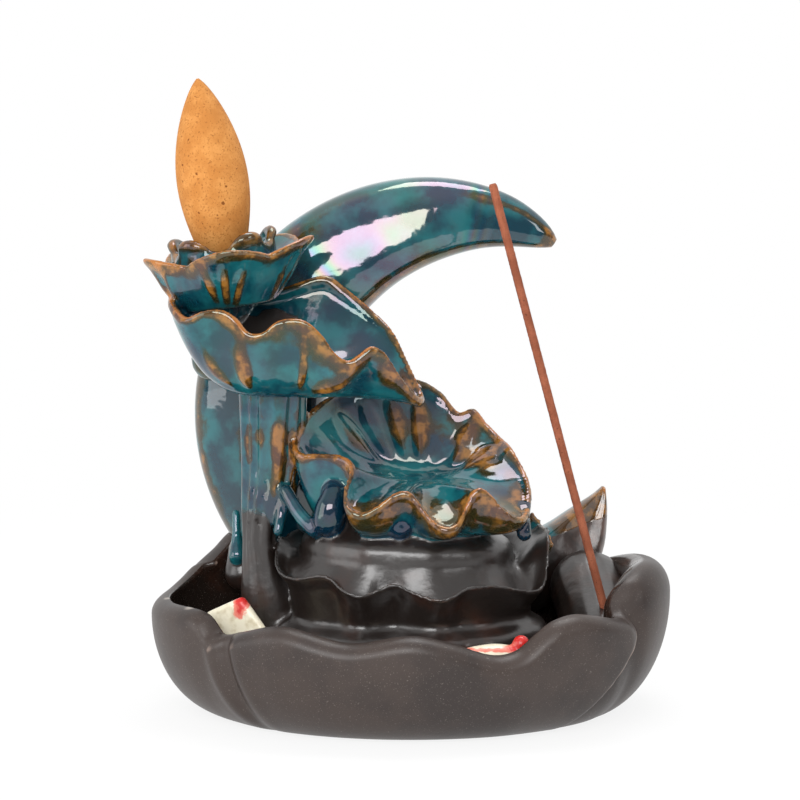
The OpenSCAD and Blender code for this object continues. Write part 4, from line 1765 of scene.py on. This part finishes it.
@dataclass
class Studio:
    """White surroundings behind the object and a darker room in front of it."""

    room: float = 0.2
    back: float = 0.75
    ceiling: float = 0.5

    def build(self) -> None:
        """Makes the world."""
        world = bpy.data.worlds.new("studio")
        bpy.context.scene.world = world
        world.use_nodes = True
        w = Wiring(world.node_tree)
        path = w.node("LightPath").outputs
        split = w.node("SeparateXYZ", w.node("TexCoord").outputs["Generated"]).outputs
        behind, above = w.span(split["Y"], -0.15, 0.4), w.span(split["Z"], 0.2, 0.9)
        level = w.math("MULTIPLY_ADD", behind, self.back, self.room)
        level = w.math("MULTIPLY_ADD", above, self.ceiling, level)
        mirrored = w.math("ADD", path["Is Glossy Ray"], path["Is Transmission Ray"])
        seen = w.math("MAXIMUM", path["Is Camera Ray"], w.math("MULTIPLY", mirrored, behind))
        ambient = w.node("Background", Color=(1, 1, 1, 1), Strength=level)
        white = w.node("Background", Color=(1, 1, 1, 1))
        blend = w.node("MixShader", seen, ambient.outputs[0], white.outputs[0])
        w.fill(w.node("OutputWorld").inputs["Surface"], blend.outputs[0])


@dataclass
class Softbox:
    """A rectangular lamp that faces a place on the object."""

    name: str
    place: Spot
    size: tuple[float, float]
    power: float
    aim: Spot = (0, 0, 60)

    def build(self) -> None:
        """Adds the lamp."""
        data = bpy.data.lights.new(self.name, "AREA")
        data.shape = "RECTANGLE"
        data.size, data.size_y = (s * MM for s in self.size)
        data.energy = self.power
        lamp = bpy.data.objects.new(self.name, data)
        bpy.context.scene.collection.objects.link(lamp)
        lamp.location = [c * MM for c in self.place]
        toward = Vector([a - p for a, p in zip(self.aim, self.place)])
        lamp.rotation_euler = toward.to_track_quat("-Z", "Y").to_euler()


LAMPS = (
    Softbox("key", (-90, -560, 300), (440, 240), 2.6),
    Softbox("left", (-650, -300, 150), (480, 600), 2.2),
    Softbox("top", (60, 120, 560), (300, 200), 1.1),
    Softbox("right", (440, -300, 240), (80, 190), 0.22),
)


def build_camera() -> None:
    """Adds the camera at the photograph's viewing angle."""
    target = Vector((-2, 5, 62.3)) * MM
    distance, pitch = 600 * MM, math.radians(7)
    data = bpy.data.cameras.new("camera")
    data.lens, data.sensor_width = 132.35, 36
    camera = bpy.data.objects.new("camera", data)
    bpy.context.scene.collection.objects.link(camera)
    camera.location = target + Vector((0, -math.cos(pitch), math.sin(pitch))) * distance
    camera.rotation_euler = (math.pi / 2 - pitch, 0, 0)
    bpy.context.scene.camera = camera


def main() -> None:
    """Builds the burner, its surroundings and the camera."""
    logging.basicConfig(level=logging.INFO, format="%(name)s %(message)s")
    scene = bpy.context.scene
    scene.view_settings.view_transform = "Standard"
    Dish().build(DarkGlaze().make("dark_glaze"))
    glaze = ReactiveGlaze().make("reactive_glaze")
    build_top(glaze)
    build_steps(glaze)
    Moon().build(ReactiveGlaze(film=1.86).make("moon_glaze"))
    Cone(Lotus()).build(PressedPowder().make("pressed_powder"))
    red_brown = PressedPowder(srgb(160, 94, 68), srgb(132, 74, 52), srgb(86, 46, 32), 4200)
    Stick().build(red_brown.make("stick_powder"))
    paint = KoiPaint().make("koi_paint")
    koi = Koi()
    koi.left(paint)
    koi.right(paint)
    build_floor()
    Studio().build()
    for lamp in LAMPS:
        lamp.build()
    build_camera()


if __name__ == "__main__":
    main()
